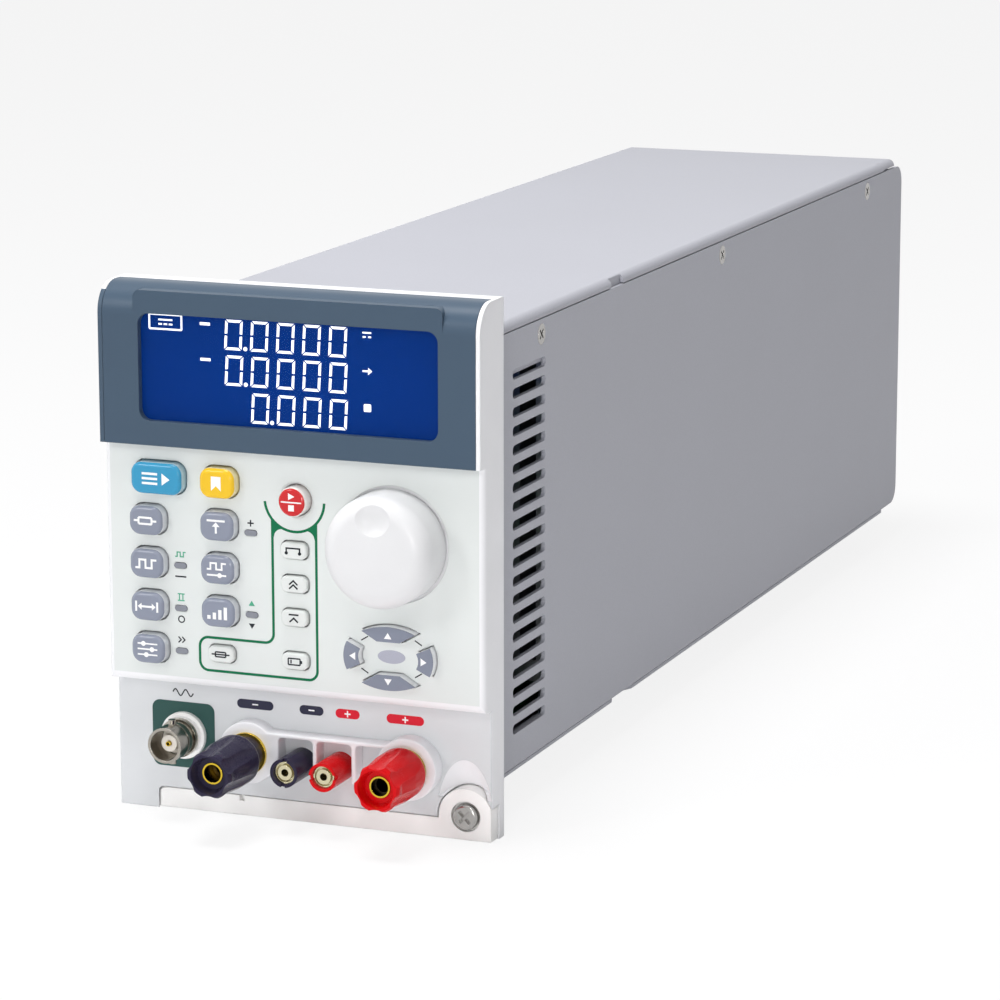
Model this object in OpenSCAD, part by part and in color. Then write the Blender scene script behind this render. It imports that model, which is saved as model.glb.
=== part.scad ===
// Plug-in DC electronic load for the bench.
// The front frame's rear plane is y = 0 while modelling: the viewer stands at -Y, the case runs to +Y.

/* [Front frame] */
// Width of the front frame
frame_w = 108; // [107:0.5:112]
// Height of the front frame
frame_h = 143.5; // [142:0.5:148]
// Distance from the rear plane to the display face
display_face = 16.3; // [16:0.1:18]
// Distance from the rear plane to the keypad face
keypad_face = 13.7; // [13.4:0.1:15]
// Distance from the rear plane to the terminal face
terminal_face = 8.8; // [8.6:0.1:10]
// Height where the display meets the keypad
display_z = 101; // [100.5:0.5:103]
// Wall thickness of the mouldings
wall = 2.4; // [2:0.1:2.6]
// Depth of the white band behind the display bezel
band_d = 5.2; // [5:0.1:6]
// Thickness of the cheeks beside the bezel
cheek_t = 1.2; // [1:0.1:1.6]
// Radius of the rolled upper edge of the display
brow_r = 8; // [6:0.5:9]
// Radius of the keypad's side edges
rim_r = 1.5; // [0.8:0.1:2]
// Radius of the keypad's lower edge
sill_r = 2.5; // [1.5:0.1:3]

/* [Display] */
// Width of the display window
window_w = 84.8; // [80:0.2:86]
// Height of the bezel below the window
window_sill = 6.6; // [6:0.1:8]
// Height of the bezel above the window
window_head = 7.4; // [7:0.1:9]
// Corner radius of the window
window_r = 3; // [1:0.5:4]
// Width of the flat pad round the window
pad_plate_w = 87.4; // [86:0.2:90]
// Drop of the flat pad's upper edge below the frame's top
pad_drop = 1.3; // [1:0.1:3]
// Depth of the display module
lcd_d = 6.5; // [4:0.1:7]

/* [Keys] */
// Column of the left function keys, from the centre line
key_col_1 = -41; // [-42:0.1:-40]
// Column of the second function keys
key_col_2 = -20.4; // [-21:0.1:-19.8]
// Column of the small test keys
key_col_3 = 0.9; // [0:0.1:2]
// Height of the first row of function keys
key_row_z = 80.75; // [80:0.05:81.5]
// Spacing of the function key rows
key_pitch = 11.63; // [11.4:0.01:11.9]
// Width of a function key
key_w = 9.8; // [9:0.1:10.4]
// Height of a function key
key_h = 7.9; // [7:0.1:8.2]
// Height of the keypad below its lowest keys
keypad_sill = 5.9; // [5:0.1:7]
// Height of the mode and preset keys' centre line
mode_row_z = 92.25; // [91.8:0.05:92.6]
// Place of the mode key across the panel
mode_x = -37.8; // [-38.5:0.1:-37]
// Width of the mode key
mode_w = 14.8; // [13:0.1:15.4]
// How far the function keys stand out
key_proud = 3.2; // [2.5:0.1:4]
// Width of a small key
small_w = 7.4; // [6.5:0.1:8]
// Height of a small key
small_h = 4.4; // [4:0.1:4.8]
// How far the small keys stand out
small_proud = 1.5; // [1.2:0.1:2.5]
// Height of the first small test key
small_row_z = 75.6; // [75:0.1:76]
// Spacing of the small test keys
small_pitch = 9.05; // [8.8:0.05:9.2]
// Diameter of the start key's face
start_d = 8; // [7:0.1:8.4]
// Place of the start key across the panel
start_x = 1.3; // [0.5:0.1:2]
// Height of the start key
start_z = 88.9; // [88.5:0.1:89.4]
// Travel of a pressed key
key_travel = 0.5; // [0.3:0.05:0.6]

/* [Knob and arrow pad] */
// Diameter of the knob
knob_d = 29.8; // [28:0.2:31]
// How far the knob stands out
knob_h = 13.2; // [12:0.1:15]
// Place of the knob across the panel
knob_x = 28.5; // [28:0.1:30]
// Height of the knob's axis
knob_z = 79.1; // [78.5:0.1:80]
// Place of the arrow pad across the panel
pad_x = 28; // [27:0.1:29]
// Height of the arrow pad's centre
pad_z = 49.3; // [48.8:0.1:50]
// Half width of the arrow pad
pad_a = 12.6; // [12.2:0.1:13.2]
// Half height of the arrow pad
pad_b = 8.5; // [8.2:0.1:9]
// How far the arrow keys stand out
arrow_proud = 2.5; // [2:0.1:3]

/* [Terminals] */
// Place of the negative post across the panel
post_neg_x = -13.8; // [-14.5:0.1:-13]
// Place of the positive post across the panel
post_pos_x = 31.8; // [31:0.1:32.4]
// Height of the post axes
post_z = 19.2; // [18.8:0.1:20]
// Diameter of a post cap's shoulder
cap_d = 13.8; // [13:0.1:14.2]
// Length of a post cap
cap_l = 19; // [18:0.1:21]
// Length of the neck that the cap screws down over
collar_l = 5; // [4:0.1:5.2]
// Diameter of the plug socket in a post
post_socket_d = 4.04; // [4.02:0.02:4.2]
// Lift of the post thread for each turn
post_pitch = 1; // [0.7:0.05:1.25]
// Turns by which the negative cap stands unscrewed
neg_turns = 4; // [0:0.5:6]
// Place of the negative sense socket across the panel
sense_neg_x = 0.2; // [-0.3:0.1:0.7]
// Place of the positive sense socket across the panel
sense_pos_x = 11.3; // [10.8:0.1:11.8]
// Height of the sense sockets
sense_z = 17; // [16.5:0.1:17.5]
// Diameter of a sense socket's sleeve
sense_d = 7.8; // [7:0.1:8]
// How far a sense socket stands out of the panel
sense_l = 12.5; // [12:0.1:13]
// Diameter of the pin that a sense socket takes
sense_pin_d = 2; // [1.6:0.1:2.2]
// Height of the shroud above the terminal face
shroud_h = 4.9; // [4:0.1:5.5]
// Radius of the shroud's bosses
boss_r = 8.4; // [8:0.1:8.8]
// Place of the coaxial socket across the panel
coax_x = -34.4; // [-35:0.1:-34]
// Height of the coaxial socket
coax_z = 21.05; // [20.6:0.05:21.6]
// Diameter of the coaxial socket's barrel
coax_d = 9.7; // [9.5:0.1:9.9]
// How far the coaxial socket stands out
coax_l = 12.5; // [11:0.1:14]

/* [Lever] */
// Height of the lever strip's upper edge
lever_h = 5.7; // [5.2:0.1:6]
// Thickness of the lever
lever_t = 4.8; // [4.4:0.1:5]
// Place of the lever's left end
lever_left = -42.2; // [-43:0.1:-41]
// Place of the captive screw across the panel
screw_x = 46.5; // [46.2:0.1:47]
// Height of the captive screw
screw_z = 6.6; // [6.4:0.1:7]
// Radius of the lever's round end
lever_end_r = 7.6; // [7:0.1:7.8]
// Diameter of the captive screw's thread
screw_d = 4; // [3:0.5:5]
// Length of thread behind the frame
screw_reach = 8; // [5:0.5:12]
// Height of the finger scoop's upper edge
scoop_top = 22.5; // [21.5:0.1:23.5]
// Slope of the finger scoop against the panel
scoop_angle = 30; // [25:1:32]

/* [Case] */
// Width over the side panels
case_w = 97.8; // [97:0.2:99]
// Rear edge of the side panels
case_back = 390.4; // [388:0.2:400]
// Lower edge of the side panels
panel_z = 12.8; // [12.4:0.1:13.4]
// Upper edge of the side panels
panel_top = 131.1; // [130.5:0.1:131.5]
// Top face of the cover
cover_top = 134; // [133.5:0.1:135]
// Sheet thickness of the side panels
sheet = 1.2; // [0.8:0.1:1.4]
// Sheet thickness of the cover and bottom plate
plate = 1; // [0.8:0.1:1]
// Rear edge of the cover
cover_back = 381; // [379:0.5:385]
// Lower face of the bottom plate
floor_z = 10.9; // [10.6:0.1:11.2]
// Rear edge of the bottom plate
floor_back = 376.2; // [375:0.2:377]
// Number of vent slots in a side panel
vent_n = 20; // [8:1:20]
// Spacing of the vent slots
vent_pitch = 5.07; // [4.5:0.01:5.1]
// Length of a vent slot
vent_l = 24.3; // [18:0.1:25]
// Height of a vent slot
vent_h = 2.7; // [2:0.1:3]
// Radius of the side panels' rear corners
corner_r = 6; // [3:0.5:10]

/* [Cooling and boards] */
// Side of the square fan
fan_w = 80; // [70:1:80]
// Depth of the fan
fan_t = 25.4; // [20:0.1:25.4]
// Height of the fan's axis
fan_z = 84; // [82:1:86]
// Number of fan blades
blade_n = 7; // [5:1:9]
// Number of heatsink fins
fin_n = 13; // [7:1:17]
// Length of the heatsink
sink_l = 270; // [200:1:280]
// Thickness of a circuit board
board_t = 1.6; // [1.2:0.2:1.6]

/* [Fits] */
// Gap round a piece that moves
gap = 0.35; // [0.3:0.05:0.4]
// Radial clearance of a turning fit
run = 0.05; // [0.02:0.01:0.08]
// Parting gap between fixed pieces
part_gap = 0.1; // [0.05:0.01:0.15]

/* [Hidden] */
$fn = 64;
eps = 0.5;

// Key rows, and the keypad's lower edge under the last of them
function key_row(i) = key_row_z - i * key_pitch;
keypad_z = key_row(3) - key_h / 2 - keypad_sill;

// Front stack, from the keypad wall back to the control board
flange_t = 0.8;
flange_lip = 0.9;
stem_d = 4;
stem_l = 1;
switch_w = 6;
switch_h = 3.5;
plunger_d = 3.4;
plunger_h = 0.8;
press_gap = key_travel + gap;
keypad_inner = keypad_face - wall;
terminal_inner = terminal_face - wall;
board_face = keypad_inner - gap - flange_t - stem_l - press_gap - plunger_h - switch_h;

// Display stack
bezel_w = frame_w - 2 * (cheek_t + part_gap);
bezel_wall = 2;
window_h = frame_h - display_z - window_sill - window_head;
window_z = display_z + window_sill + window_h / 2;
pad_plate_r = 2;
pad_plate_d = 4;
pane_sink = 0.4;
pane_t = 1.2;
lcd_margin = 2.5;
lcd_face = display_face - bezel_wall - part_gap;
lcd_w = window_w + 2 * lcd_margin;
lcd_h = window_h + 2 * lcd_margin;

// Key places
function small_row(i) = small_row_z - i * small_pitch;
preset_w = 10.1;
mode_h = 8.5;
preset_h = 8.1;
preset_x = key_col_2 + 0.2;
key_r = 3;
key_fillet = 1.2;
small_r = 1.6;
small_fillet = 0.6;
start_bevel = 0.5;
arrow_w = 4.1;
arrow_flat = 3.2;
arrow_side = 2.1;
arrow_slant = 30;
arrow_splay = 65;
arrow_horn = 0.5;
arrow_scoop_r = 3.6;
arrow_ease = 2.4;
arrow_lip = 0.6;
arrow_v = pad_b - 2.5;
arrow_h = pad_a - 2.8;
big_keys = [
  [mode_x, mode_row_z, mode_w, mode_h],
  [preset_x, mode_row_z, preset_w, preset_h],
  for (i = [0:3]) [key_col_1, key_row(i), key_w, key_h],
  for (i = [0:2]) [key_col_2, key_row(i), key_w, key_h]
];
small_keys = [
  for (i = [0:2]) [key_col_3, small_row(i)],
  [key_col_3, key_row(3)],
  [key_col_2, key_row(3)]
];
arrow_places = [[0, arrow_v], [0, -arrow_v], [-arrow_h, 0], [arrow_h, 0]];
switch_places = [
  for (k = big_keys) [k[0], k[1]],
  for (k = small_keys) k,
  [start_x, start_z],
  for (a = arrow_places) [pad_x + a[0], pad_z + a[1]]
];

// Indicator light pipes sit to the right of a key
led_w = 3.55;
led_h = 1.53;
led_dx = 8.6;
led_drop = 0.4;
led_places = [
  [key_col_2 + led_dx, key_row(0) - 1.6],
  [key_col_2 + led_dx, key_row(2) - led_drop],
  for (i = [1:3]) [key_col_1 + led_dx, key_row(i) - led_drop]
];

// Posts that carry the control board
board_post_r = 3;
board_post_low = keypad_z + wall + board_post_r;
board_post_high = display_z - wall - board_post_r;
board_posts = [
  [(preset_x + start_x) / 2, board_post_high],
  [(key_col_1 + key_col_2) / 2, board_post_low],
  [pad_x + 15, board_post_high],
  [pad_x + 15, board_post_low]
];
rear_lip_t = 1.6;

// Knob and encoder
knob_gap = 0.5;
knob_fillet = 4.6;
knob_skin = 2.2;
hub_r = 5.5;
shaft_r = 3;
bush_r = 4;
bush_proud = 1.6;
encoder_w = 12;
dip_r = 8;
dip_rise = 6.4;
dip_place = 9.6;
knob_seat_d = 0.6;
knob_seat_r = knob_d / 2 + 0.7;

// Posts
washer_t = 0.9;
washer_r = 5.7;
collar_r = 5;
stud_r = 3;
insert_r = 4.2;
lip_r = 2.9;
lip_t = 2;
lip_web = 0.7;
lip_proud = 0.2;
funnel_d = 3;
funnel_floor = lip_t - lip_web - 0.3;
cap_seat = shroud_h + washer_t + gap;
cap_bore_z = collar_l + gap;
insert_l = cap_l - funnel_d - cap_bore_z - gap;
stud_top = cap_seat + cap_l - funnel_d - lip_t - gap;
stud_tail = 14;
stud_nut_r = stud_r + 2;
stud_nut_h = 3;
socket_depth = 15;
flute_n = 6;
flute_r = 5;
flute_d = 1.05;
flute_tilt = 5.5;
cap_nose_r = cap_d / 2 - 0.5;
neg_lift = neg_turns * post_pitch;
front_reach = terminal_face + cap_seat + cap_l + neg_lift;

// Coaxial socket
coax_r = coax_d / 2;
coax_bore_r = coax_r - 0.75;
coax_thread_r = coax_r - 0.2;
coax_flange_r = 6.4;
coax_groove = 0.4;
coax_step_r = coax_r + 0.5;

// Sense sockets
sense_r = sense_d / 2;
sense_shell = 0.85;
sense_ring_r = sense_r - sense_shell;
sense_rim_t = 0.4;
sense_groove_w = 0.5;
sense_groove_d = 1.6;
sense_rim_back = 1;
sense_tube_back = 0.8;
sense_bore_l = 12;
sense_notch_w = 1.2;
sense_notch_d = 1;
sense_tail_r = 1;
sense_tail_l = 8;

// Shroud
shroud_bridge = 6.1;
divider_t = 1.2;
divider_drop = 5.5;
pocket_half = (sense_pos_x - sense_neg_x - divider_t) / 2;
pocket_top = 1;

// Lever and its recess
lever_front = terminal_face - 0.4;
lever_back = lever_front - lever_t;
recess_back = lever_back - 0.4;
// The barrel is rounder than the lever is thick, so the front plane cuts it to a thin seam
barrel_r = lever_t / 2 + 1;
barrel_edge = 1.5;
hinge_x = lever_left + sqrt(pow(barrel_r, 2) - pow(lever_t / 2, 2));
hinge_y = -(lever_front + lever_back) / 2;
lever_right = frame_w / 2 - 0.4;
lever_lift = 0.3;
lever_notch_place = 4.2;
lever_notch_w = 1.4;
lever_notch_d = 1.5;
pin_r = 1.4;
pin_head_r = 1.8;
pin_head_h = 1;
pin_boss_z = 13;
recess_r = lever_end_r + gap;
screw_r = screw_d / 2;
screw_head_r = screw_r + 1.5;
screw_head_h = 2.2;
screw_well_r = screw_head_r + 0.6;
screw_well_d = 1.6;
screw_room = 1.5;
scoop_end = screw_z + lever_end_r;
scoop_web = 1.8;

// Case
panel_in = case_w / 2 - sheet;
case_front = 0.2;
flange_w = 9;
flange_drop = 14;
screw_drop = 4.1;
case_screw_r = 1.5;
case_head_r = 2.9;
screw_from_back = 41.8;
case_screw_y = [40.9, 193.9, case_back - screw_from_back];
cover_edge_r = 2.2;
cover_lip_gap = 0.3;
cover_flange_h = 12;
cover_notch = [95.8, 10];
lip_back = cover_back - 12.5;
vent_y = 19.5;
vent_top = panel_top - 11.7;
floor_notch = [100.2, 9.8];
floor_notch_in = 3;
lead_in = 7;
rail_h = 10;
floor_top = floor_z + plate;
rear_y = floor_back + part_gap;

// Cooling and boards
board_z = floor_top + 2.6;
board_top = board_z + board_t;
board_w = 70;
board_front = 4;
board_post_back = 40;
sink_w = 84;
sink_base_z = board_top + 9.9;
sink_base_t = 6;
fin_h = 86;
fin_t = 2;
sink_front = 60;
fan_y = rear_y - fan_t - part_gap;
fan_r = fan_w / 2 - 2;
fan_hub_r = 17;
fan_hole = fan_w / 2 - 4.3;
axle_r = 1.5;
strut_t = 3;
strut_n = 4;
blade_pitch = 38;
transistor_n = 8;
transistor = [15.6, 20, 5];
connector_w = 64;
connector_h = 11;
connector_out = 8;
connector_in = 14;
connector_lift = 0.4;
pin_rows = 2;
pin_cols = 12;
pin_pitch = 5;

// The origin is under the middle of the whole object
origin_y = (front_reach - case_back) / 2;

// Colours
frame_white = [0.93, 0.93, 0.94];
slate = [0.31, 0.37, 0.44];
lcd_blue = [0.03, 0.2, 0.51];
key_grey = [0.59, 0.61, 0.67];
key_blue = [0.24, 0.63, 0.77];
key_yellow = [0.94, 0.78, 0.12];
signal_red = [0.82, 0.13, 0.15];
post_navy = [0.2, 0.19, 0.27];
gold = [0.8, 0.74, 0.3];
chrome = [0.75, 0.75, 0.77];
case_silver = [0.72, 0.72, 0.75];
board_green = [0.1, 0.4, 0.25];
dark_plastic = [0.15, 0.15, 0.17];
aluminium = [0.8, 0.81, 0.82];

// Helpers

// Puts a shape on a face of the front: x right, y up, z out of the panel
module on_face(x, z, face) {
  translate([x, -face, z]) rotate([90, 0, 0]) children();
}

// Moves the modelling frame to the object's own origin
module placed() {
  translate([0, origin_y, 0]) children();
}

// Rectangle with round corners
module round_rect(w, h, r) {
  square([w - 2 * r, h], center = true);
  square([w, h - 2 * r], center = true);
  for (x = [-1, 1], y = [-1, 1])
    translate([x * (w / 2 - r), y * (h / 2 - r)]) circle(r);
}

// Slot with round ends, lying along x
module stadium(w, h) {
  square([w - h, h], center = true);
  for (x = [-1, 1]) translate([x * (w - h) / 2, 0]) circle(h / 2);
}

// Half section with its outer top edge rounded
module fillet_half(half, d, f) {
  square([half, d - f]);
  square([half - f, d]);
  translate([half - f, d - f]) circle(f);
}

module fillet_section(half, d, f) {
  fillet_half(half, d, f);
  mirror([1, 0]) fillet_half(half, d, f);
}

// Rounded block whose top edge is rolled all the way round
module pillow(w, h, r, d, f) {
  for (x = [-1, 1], y = [-1, 1])
    translate([x * (w / 2 - r), y * (h / 2 - r), 0]) rotate_extrude() fillet_half(r, d, f);
  translate([-(w / 2 - r), 0, 0]) rotate([90, 0, 90])
    linear_extrude(w - 2 * r) fillet_section(h / 2, d, f);
  translate([0, h / 2 - r, 0]) rotate([90, 0, 0])
    linear_extrude(h - 2 * r) fillet_section(w / 2, d, f);
}

// Tube along z
module tube(r_out, r_in, z0, z1) {
  translate([0, 0, z0]) difference() {
    cylinder(r = r_out, h = z1 - z0);
    translate([0, 0, -eps]) cylinder(r = r_in, h = z1 - z0 + 2 * eps);
  }
}

// Rod along z
module rod(r, z0, z1) {
  translate([0, 0, z0]) cylinder(r = r, h = z1 - z0);
}

// Box given by its two corners
module span(low, high) {
  translate(low) cube(high - low);
}

// Front frame

// One zone of the moulding, its front corners rounded in plan
module zone(face, z0, z1, r) {
  translate([0, 0, z0]) linear_extrude(z1 - z0) {
    translate([-frame_w / 2, -face + r]) square([frame_w, face - r]);
    translate([-frame_w / 2 + r, -face]) square([frame_w - 2 * r, face]);
    for (x = [-1, 1]) translate([x * (frame_w / 2 - r), -face + r]) circle(r);
  }
}

// Side view of the display, with its rolled brow
module brow_profile(face, z0, z1, r) {
  translate([-face, z0]) square([face, z1 - z0 - r]);
  translate([-face + r, z0]) square([face - r, z1 - z0]);
  translate([-face + r, z1 - r]) circle(r);
}

module along_x(w) {
  translate([-w / 2, 0, 0]) rotate([90, 0, 90]) linear_extrude(w) children();
}

module keypad_block() {
  intersection() {
    zone(keypad_face, keypad_z, display_z, rim_r);
    along_x(frame_w) {
      translate([-keypad_face, keypad_z + sill_r]) square([keypad_face, display_z - keypad_z]);
      translate([-keypad_face + sill_r, keypad_z]) square([keypad_face - sill_r, sill_r]);
      translate([-keypad_face + sill_r, keypad_z + sill_r]) circle(sill_r);
    }
  }
}

module display_block() {
  span([-frame_w / 2, -band_d, display_z], [frame_w / 2, 0, frame_h]);
  for (x = [-1, 1])
    translate([x * (frame_w - cheek_t) / 2, 0, 0])
      along_x(cheek_t) brow_profile(display_face, display_z, frame_h, brow_r);
}

// Hollow of the frame, seen from behind
module frame_hollow() {
  side = frame_w / 2 - wall;
  inner_x = screw_x - recess_r - scoop_web;
  span([-side, -keypad_inner, keypad_z + wall], [side, eps, display_z - wall]);
  span([-side, -(band_d - wall), display_z - eps], [side, eps, frame_h - wall]);
  span([-lcd_w / 2, -band_d - eps, display_z + wall], [lcd_w / 2, eps, window_z + lcd_h / 2]);
  span([hinge_x + barrel_r + wall, -terminal_inner, lever_h + wall], [inner_x, eps, keypad_z + wall + eps]);
  span([-side, -terminal_inner, pin_boss_z + gap], [inner_x, eps, keypad_z + wall + eps]);
  span([-side, -terminal_inner, scoop_top + wall], [side, eps, keypad_z + wall + eps]);
}

// Lip that closes the back of the frame round the case
module rear_lip() {
  difference() {
    span([-frame_w, -rear_lip_t, -eps], [frame_w, 2 * eps, 2 * frame_h]);
    span([-panel_in, -2 * rear_lip_t, floor_top], [panel_in, 3 * eps, cover_top - plate]);
  }
}

// Recess that the lever lies in, with the finger scoop above its round end
module lever_recess() {
  top = lever_h + gap;
  span([hinge_x, -terminal_face - eps, -eps], [frame_w / 2 + eps, -recess_back, top]);
  translate([hinge_x, hinge_y, -eps])
    rotate_extrude() fillet_half(barrel_r + gap, top + eps, barrel_edge - gap);
  on_face(screw_x, screw_z, terminal_face)
    rod(recess_r, recess_back - terminal_face, eps);
  span([screw_x, -terminal_face - eps, -eps], [frame_w / 2 + eps, -recess_back, screw_z]);
  reach = (scoop_top - scoop_end) / cos(scoop_angle);
  translate([screw_x, -terminal_face, scoop_top] + recess_r * [0, -cos(scoop_angle), -sin(scoop_angle)])
    rotate([180 + scoop_angle, 0, 0])
      rod(recess_r, -2 * recess_r, reach);
}

module key_holes() {
  depth = wall + eps;
  for (k = big_keys)
    on_face(k[0], k[1], keypad_face) translate([0, 0, -depth])
      linear_extrude(depth + eps) round_rect(k[2] + 2 * gap, k[3] + 2 * gap, key_r + gap);
  for (k = small_keys)
    on_face(k[0], k[1], keypad_face) translate([0, 0, -depth])
      linear_extrude(depth + eps) round_rect(small_w + 2 * gap, small_h + 2 * gap, small_r + gap);
  start_hole = start_d / 2 + gap;
  on_face(start_x, start_z, keypad_face) {
    rod(start_hole, -depth, eps);
    translate([0, 0, -start_bevel])
      cylinder(r1 = start_hole, r2 = start_hole + start_bevel + eps, h = start_bevel + eps);
  }
  for (i = [0:3])
    on_face(pad_x, pad_z, keypad_face) translate([0, 0, -depth])
      linear_extrude(depth + eps) arrow_outline(i, gap);
  for (p = led_places)
    on_face(p[0], p[1], keypad_face) translate([0, 0, -depth])
      linear_extrude(depth + eps) stadium(led_w + 2 * part_gap, led_h + 2 * part_gap);
}

module front_frame() {
  color(frame_white) difference() {
    union() {
      display_block();
      keypad_block();
      zone(terminal_face, 0, keypad_z + sill_r, 0.6);
    }
    difference() {
      frame_hollow();
      rear_lip();
      for (p = board_posts)
        on_face(p[0], p[1], keypad_inner) rod(board_post_r, board_face - keypad_inner, eps);
    }
    lever_recess();
    key_holes();
    on_face(knob_x, knob_z, keypad_face) {
      rod(knob_seat_r, -knob_seat_d, eps);
      rod(bush_r + part_gap, -wall - eps, eps);
    }
    on_face(coax_x, coax_z, terminal_face) rod(coax_step_r + part_gap, -wall - eps, eps);
    for (x = [post_neg_x, post_pos_x])
      on_face(x, post_z, terminal_face) rod(stud_r + part_gap, -wall - eps, eps);
    for (x = [sense_neg_x, sense_pos_x])
      on_face(x, sense_z, terminal_face) rod(sense_ring_r + part_gap, -wall - eps, eps);
    on_face(screw_x, screw_z, recess_back) rod(screw_r + screw_room, -recess_back - eps, eps);
    translate([hinge_x, hinge_y, 0]) rod(pin_r, 0, pin_boss_z - 1);
  }
}

// Display

module display_bezel() {
  low = display_z + bezel_wall;
  pad_top = frame_h - pad_drop;
  pad_low = frame_h - brow_r - 2 * pad_plate_r;
  color(slate) difference() {
    union() {
      along_x(bezel_w)
        intersection() {
          brow_profile(display_face, display_z, frame_h, brow_r);
          translate([-display_face, display_z]) square([display_face - band_d, frame_h]);
        }
      on_face(0, (pad_low + pad_top) / 2, display_face - pad_plate_d)
        linear_extrude(pad_plate_d) round_rect(pad_plate_w, pad_top - pad_low, pad_plate_r);
    }
    along_x(bezel_w - 2 * bezel_wall)
      intersection() {
        brow_profile(display_face - bezel_wall, low, frame_h - bezel_wall, brow_r - bezel_wall);
        translate([-display_face, low]) square([display_face - band_d + eps, frame_h]);
      }
    lcd_block(part_gap);
    on_face(0, window_z, display_face) translate([0, 0, -bezel_wall - eps])
      linear_extrude(bezel_wall + 2 * eps) round_rect(window_w, window_h, window_r);
  }
}

module display_window() {
  color([0.1, 0.3, 0.65, 0.6])
    on_face(0, window_z, display_face) translate([0, 0, -pane_sink - pane_t])
      linear_extrude(pane_t)
        round_rect(window_w - 2 * part_gap, window_h - 2 * part_gap, window_r - part_gap);
}

// Display module's block, grown by g
module lcd_block(g) {
  half_w = lcd_w / 2 - part_gap + g;
  half_h = lcd_h / 2 - part_gap + g;
  on_face(0, window_z, lcd_face)
    span([-half_w, -half_h, -lcd_d - g], [half_w, half_h, g]);
}

module lcd_module() { color(lcd_blue) lcd_block(0); }

// Control board with its switches

module control_board() {
  low_x = -frame_w / 2 + wall + 1;
  color(board_green)
    span([low_x, -board_face, keypad_z + wall + 1], [-low_x, -board_face + board_t, display_z - wall - 0.5]);
}

module tact_switches() {
  color(dark_plastic)
    for (p = switch_places)
      on_face(p[0], p[1], board_face) {
        translate([-switch_w / 2, -switch_w / 2, 0]) cube([switch_w, switch_w, switch_h]);
        rod(plunger_d / 2, switch_h - eps, switch_h + plunger_h);
      }
}

// Keys

// Flange behind the wall and the stem that meets the switch
module key_foot(w, h, r) {
  translate([0, 0, -wall - gap - flange_t])
    linear_extrude(flange_t) round_rect(w + 2 * flange_lip, h + 2 * flange_lip, r);
  rod(stem_d / 2, -wall - gap - flange_t - stem_l, -wall);
}

module big_key(i, tint) {
  k = big_keys[i];
  depth = wall + gap + flange_t;
  color(tint) on_face(k[0], k[1], keypad_face) {
    translate([0, 0, -depth]) pillow(k[2], k[3], key_r, depth + key_proud, key_fillet);
    key_foot(k[2], k[3], key_r);
  }
}

module small_key(i) {
  k = small_keys[i];
  depth = wall + gap + flange_t;
  color(frame_white) on_face(k[0], k[1], keypad_face) {
    translate([0, 0, -depth]) pillow(small_w, small_h, small_r, depth + small_proud, small_fillet);
    key_foot(small_w, small_h, small_r);
  }
}

module mode_key() { big_key(0, key_blue); }
module preset_key() { big_key(1, key_yellow); }
module load_key() { big_key(2, key_grey); }
module dynamic_key() { big_key(3, key_grey); }
module range_key() { big_key(4, key_grey); }
module config_key() { big_key(5, key_grey); }
module limit_key() { big_key(6, key_grey); }
module dynamic_setting_key() { big_key(7, key_grey); }
module level_key() { big_key(8, key_grey); }
module short_key() { small_key(0); }
module opp_key() { small_key(1); }
module ocp_key() { small_key(2); }
module bms_key() { small_key(3); }
module fuse_key() { small_key(4); }

module start_stop_key() {
  depth = wall + gap + flange_t;
  color(signal_red) on_face(start_x, start_z, keypad_face) {
    translate([0, 0, -depth]) rotate_extrude() fillet_half(start_d / 2, depth + key_proud, key_fillet);
    rod(start_d / 2 + flange_lip, -depth, -depth + flange_t);
    rod(stem_d / 2, -depth - stem_l, -depth + eps);
  }
}

// Trapezoid that widens outwards from a base of 2 * half at height low, its sides at angle a, grown by g
module wedge(half, low, high, a, g) {
  base = half + g * tan(a / 2);
  reach = base + (high - low + g) / tan(a);
  polygon([[-base, low - g], [base, low - g], [reach, high], [-reach, high]]);
}

// Outline of an arrow key, grown by g: 0 up, 1 down, 2 left, 3 right
module arrow_outline(i, g) {
  upright = i < 2;
  out = upright ? pad_b : pad_a;
  arc = upright ? pad_a * pad_a / pad_b : pad_b * pad_b / pad_a + arrow_ease;
  rotate([0, 180, 90, -90][i]) intersection() {
    translate([0, out - arc]) circle(arc + g);
    if (upright) wedge(arrow_flat, out - arrow_w, 2 * out, arrow_slant, g);
    else difference() {
      wedge(arrow_side, out - arrow_w - arrow_horn, 2 * out, arrow_splay, g);
      translate([0, out - arrow_w - arrow_scoop_r]) circle(arrow_scoop_r - g);
    }
  }
}

module arrow_key(i) {
  depth = wall + gap + flange_t;
  place = arrow_places[i];
  color(key_grey) on_face(pad_x, pad_z, keypad_face) {
    translate([0, 0, -wall - gap - eps]) linear_extrude(wall + gap + eps + arrow_proud) arrow_outline(i, 0);
    translate([0, 0, -depth]) linear_extrude(flange_t) arrow_outline(i, arrow_lip);
    translate(place) rod(stem_d / 2, -depth - stem_l, -depth + eps);
  }
}

module up_key() { arrow_key(0); }
module down_key() { arrow_key(1); }
module left_key() { arrow_key(2); }
module right_key() { arrow_key(3); }

module led_lenses() {
  color([0.55, 0.56, 0.59])
    for (p = led_places)
      on_face(p[0], p[1], keypad_face) translate([0, 0, board_face - keypad_face + gap])
        linear_extrude(keypad_face - board_face - gap + 0.2) stadium(led_w, led_h);
}

// Knob and encoder

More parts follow.
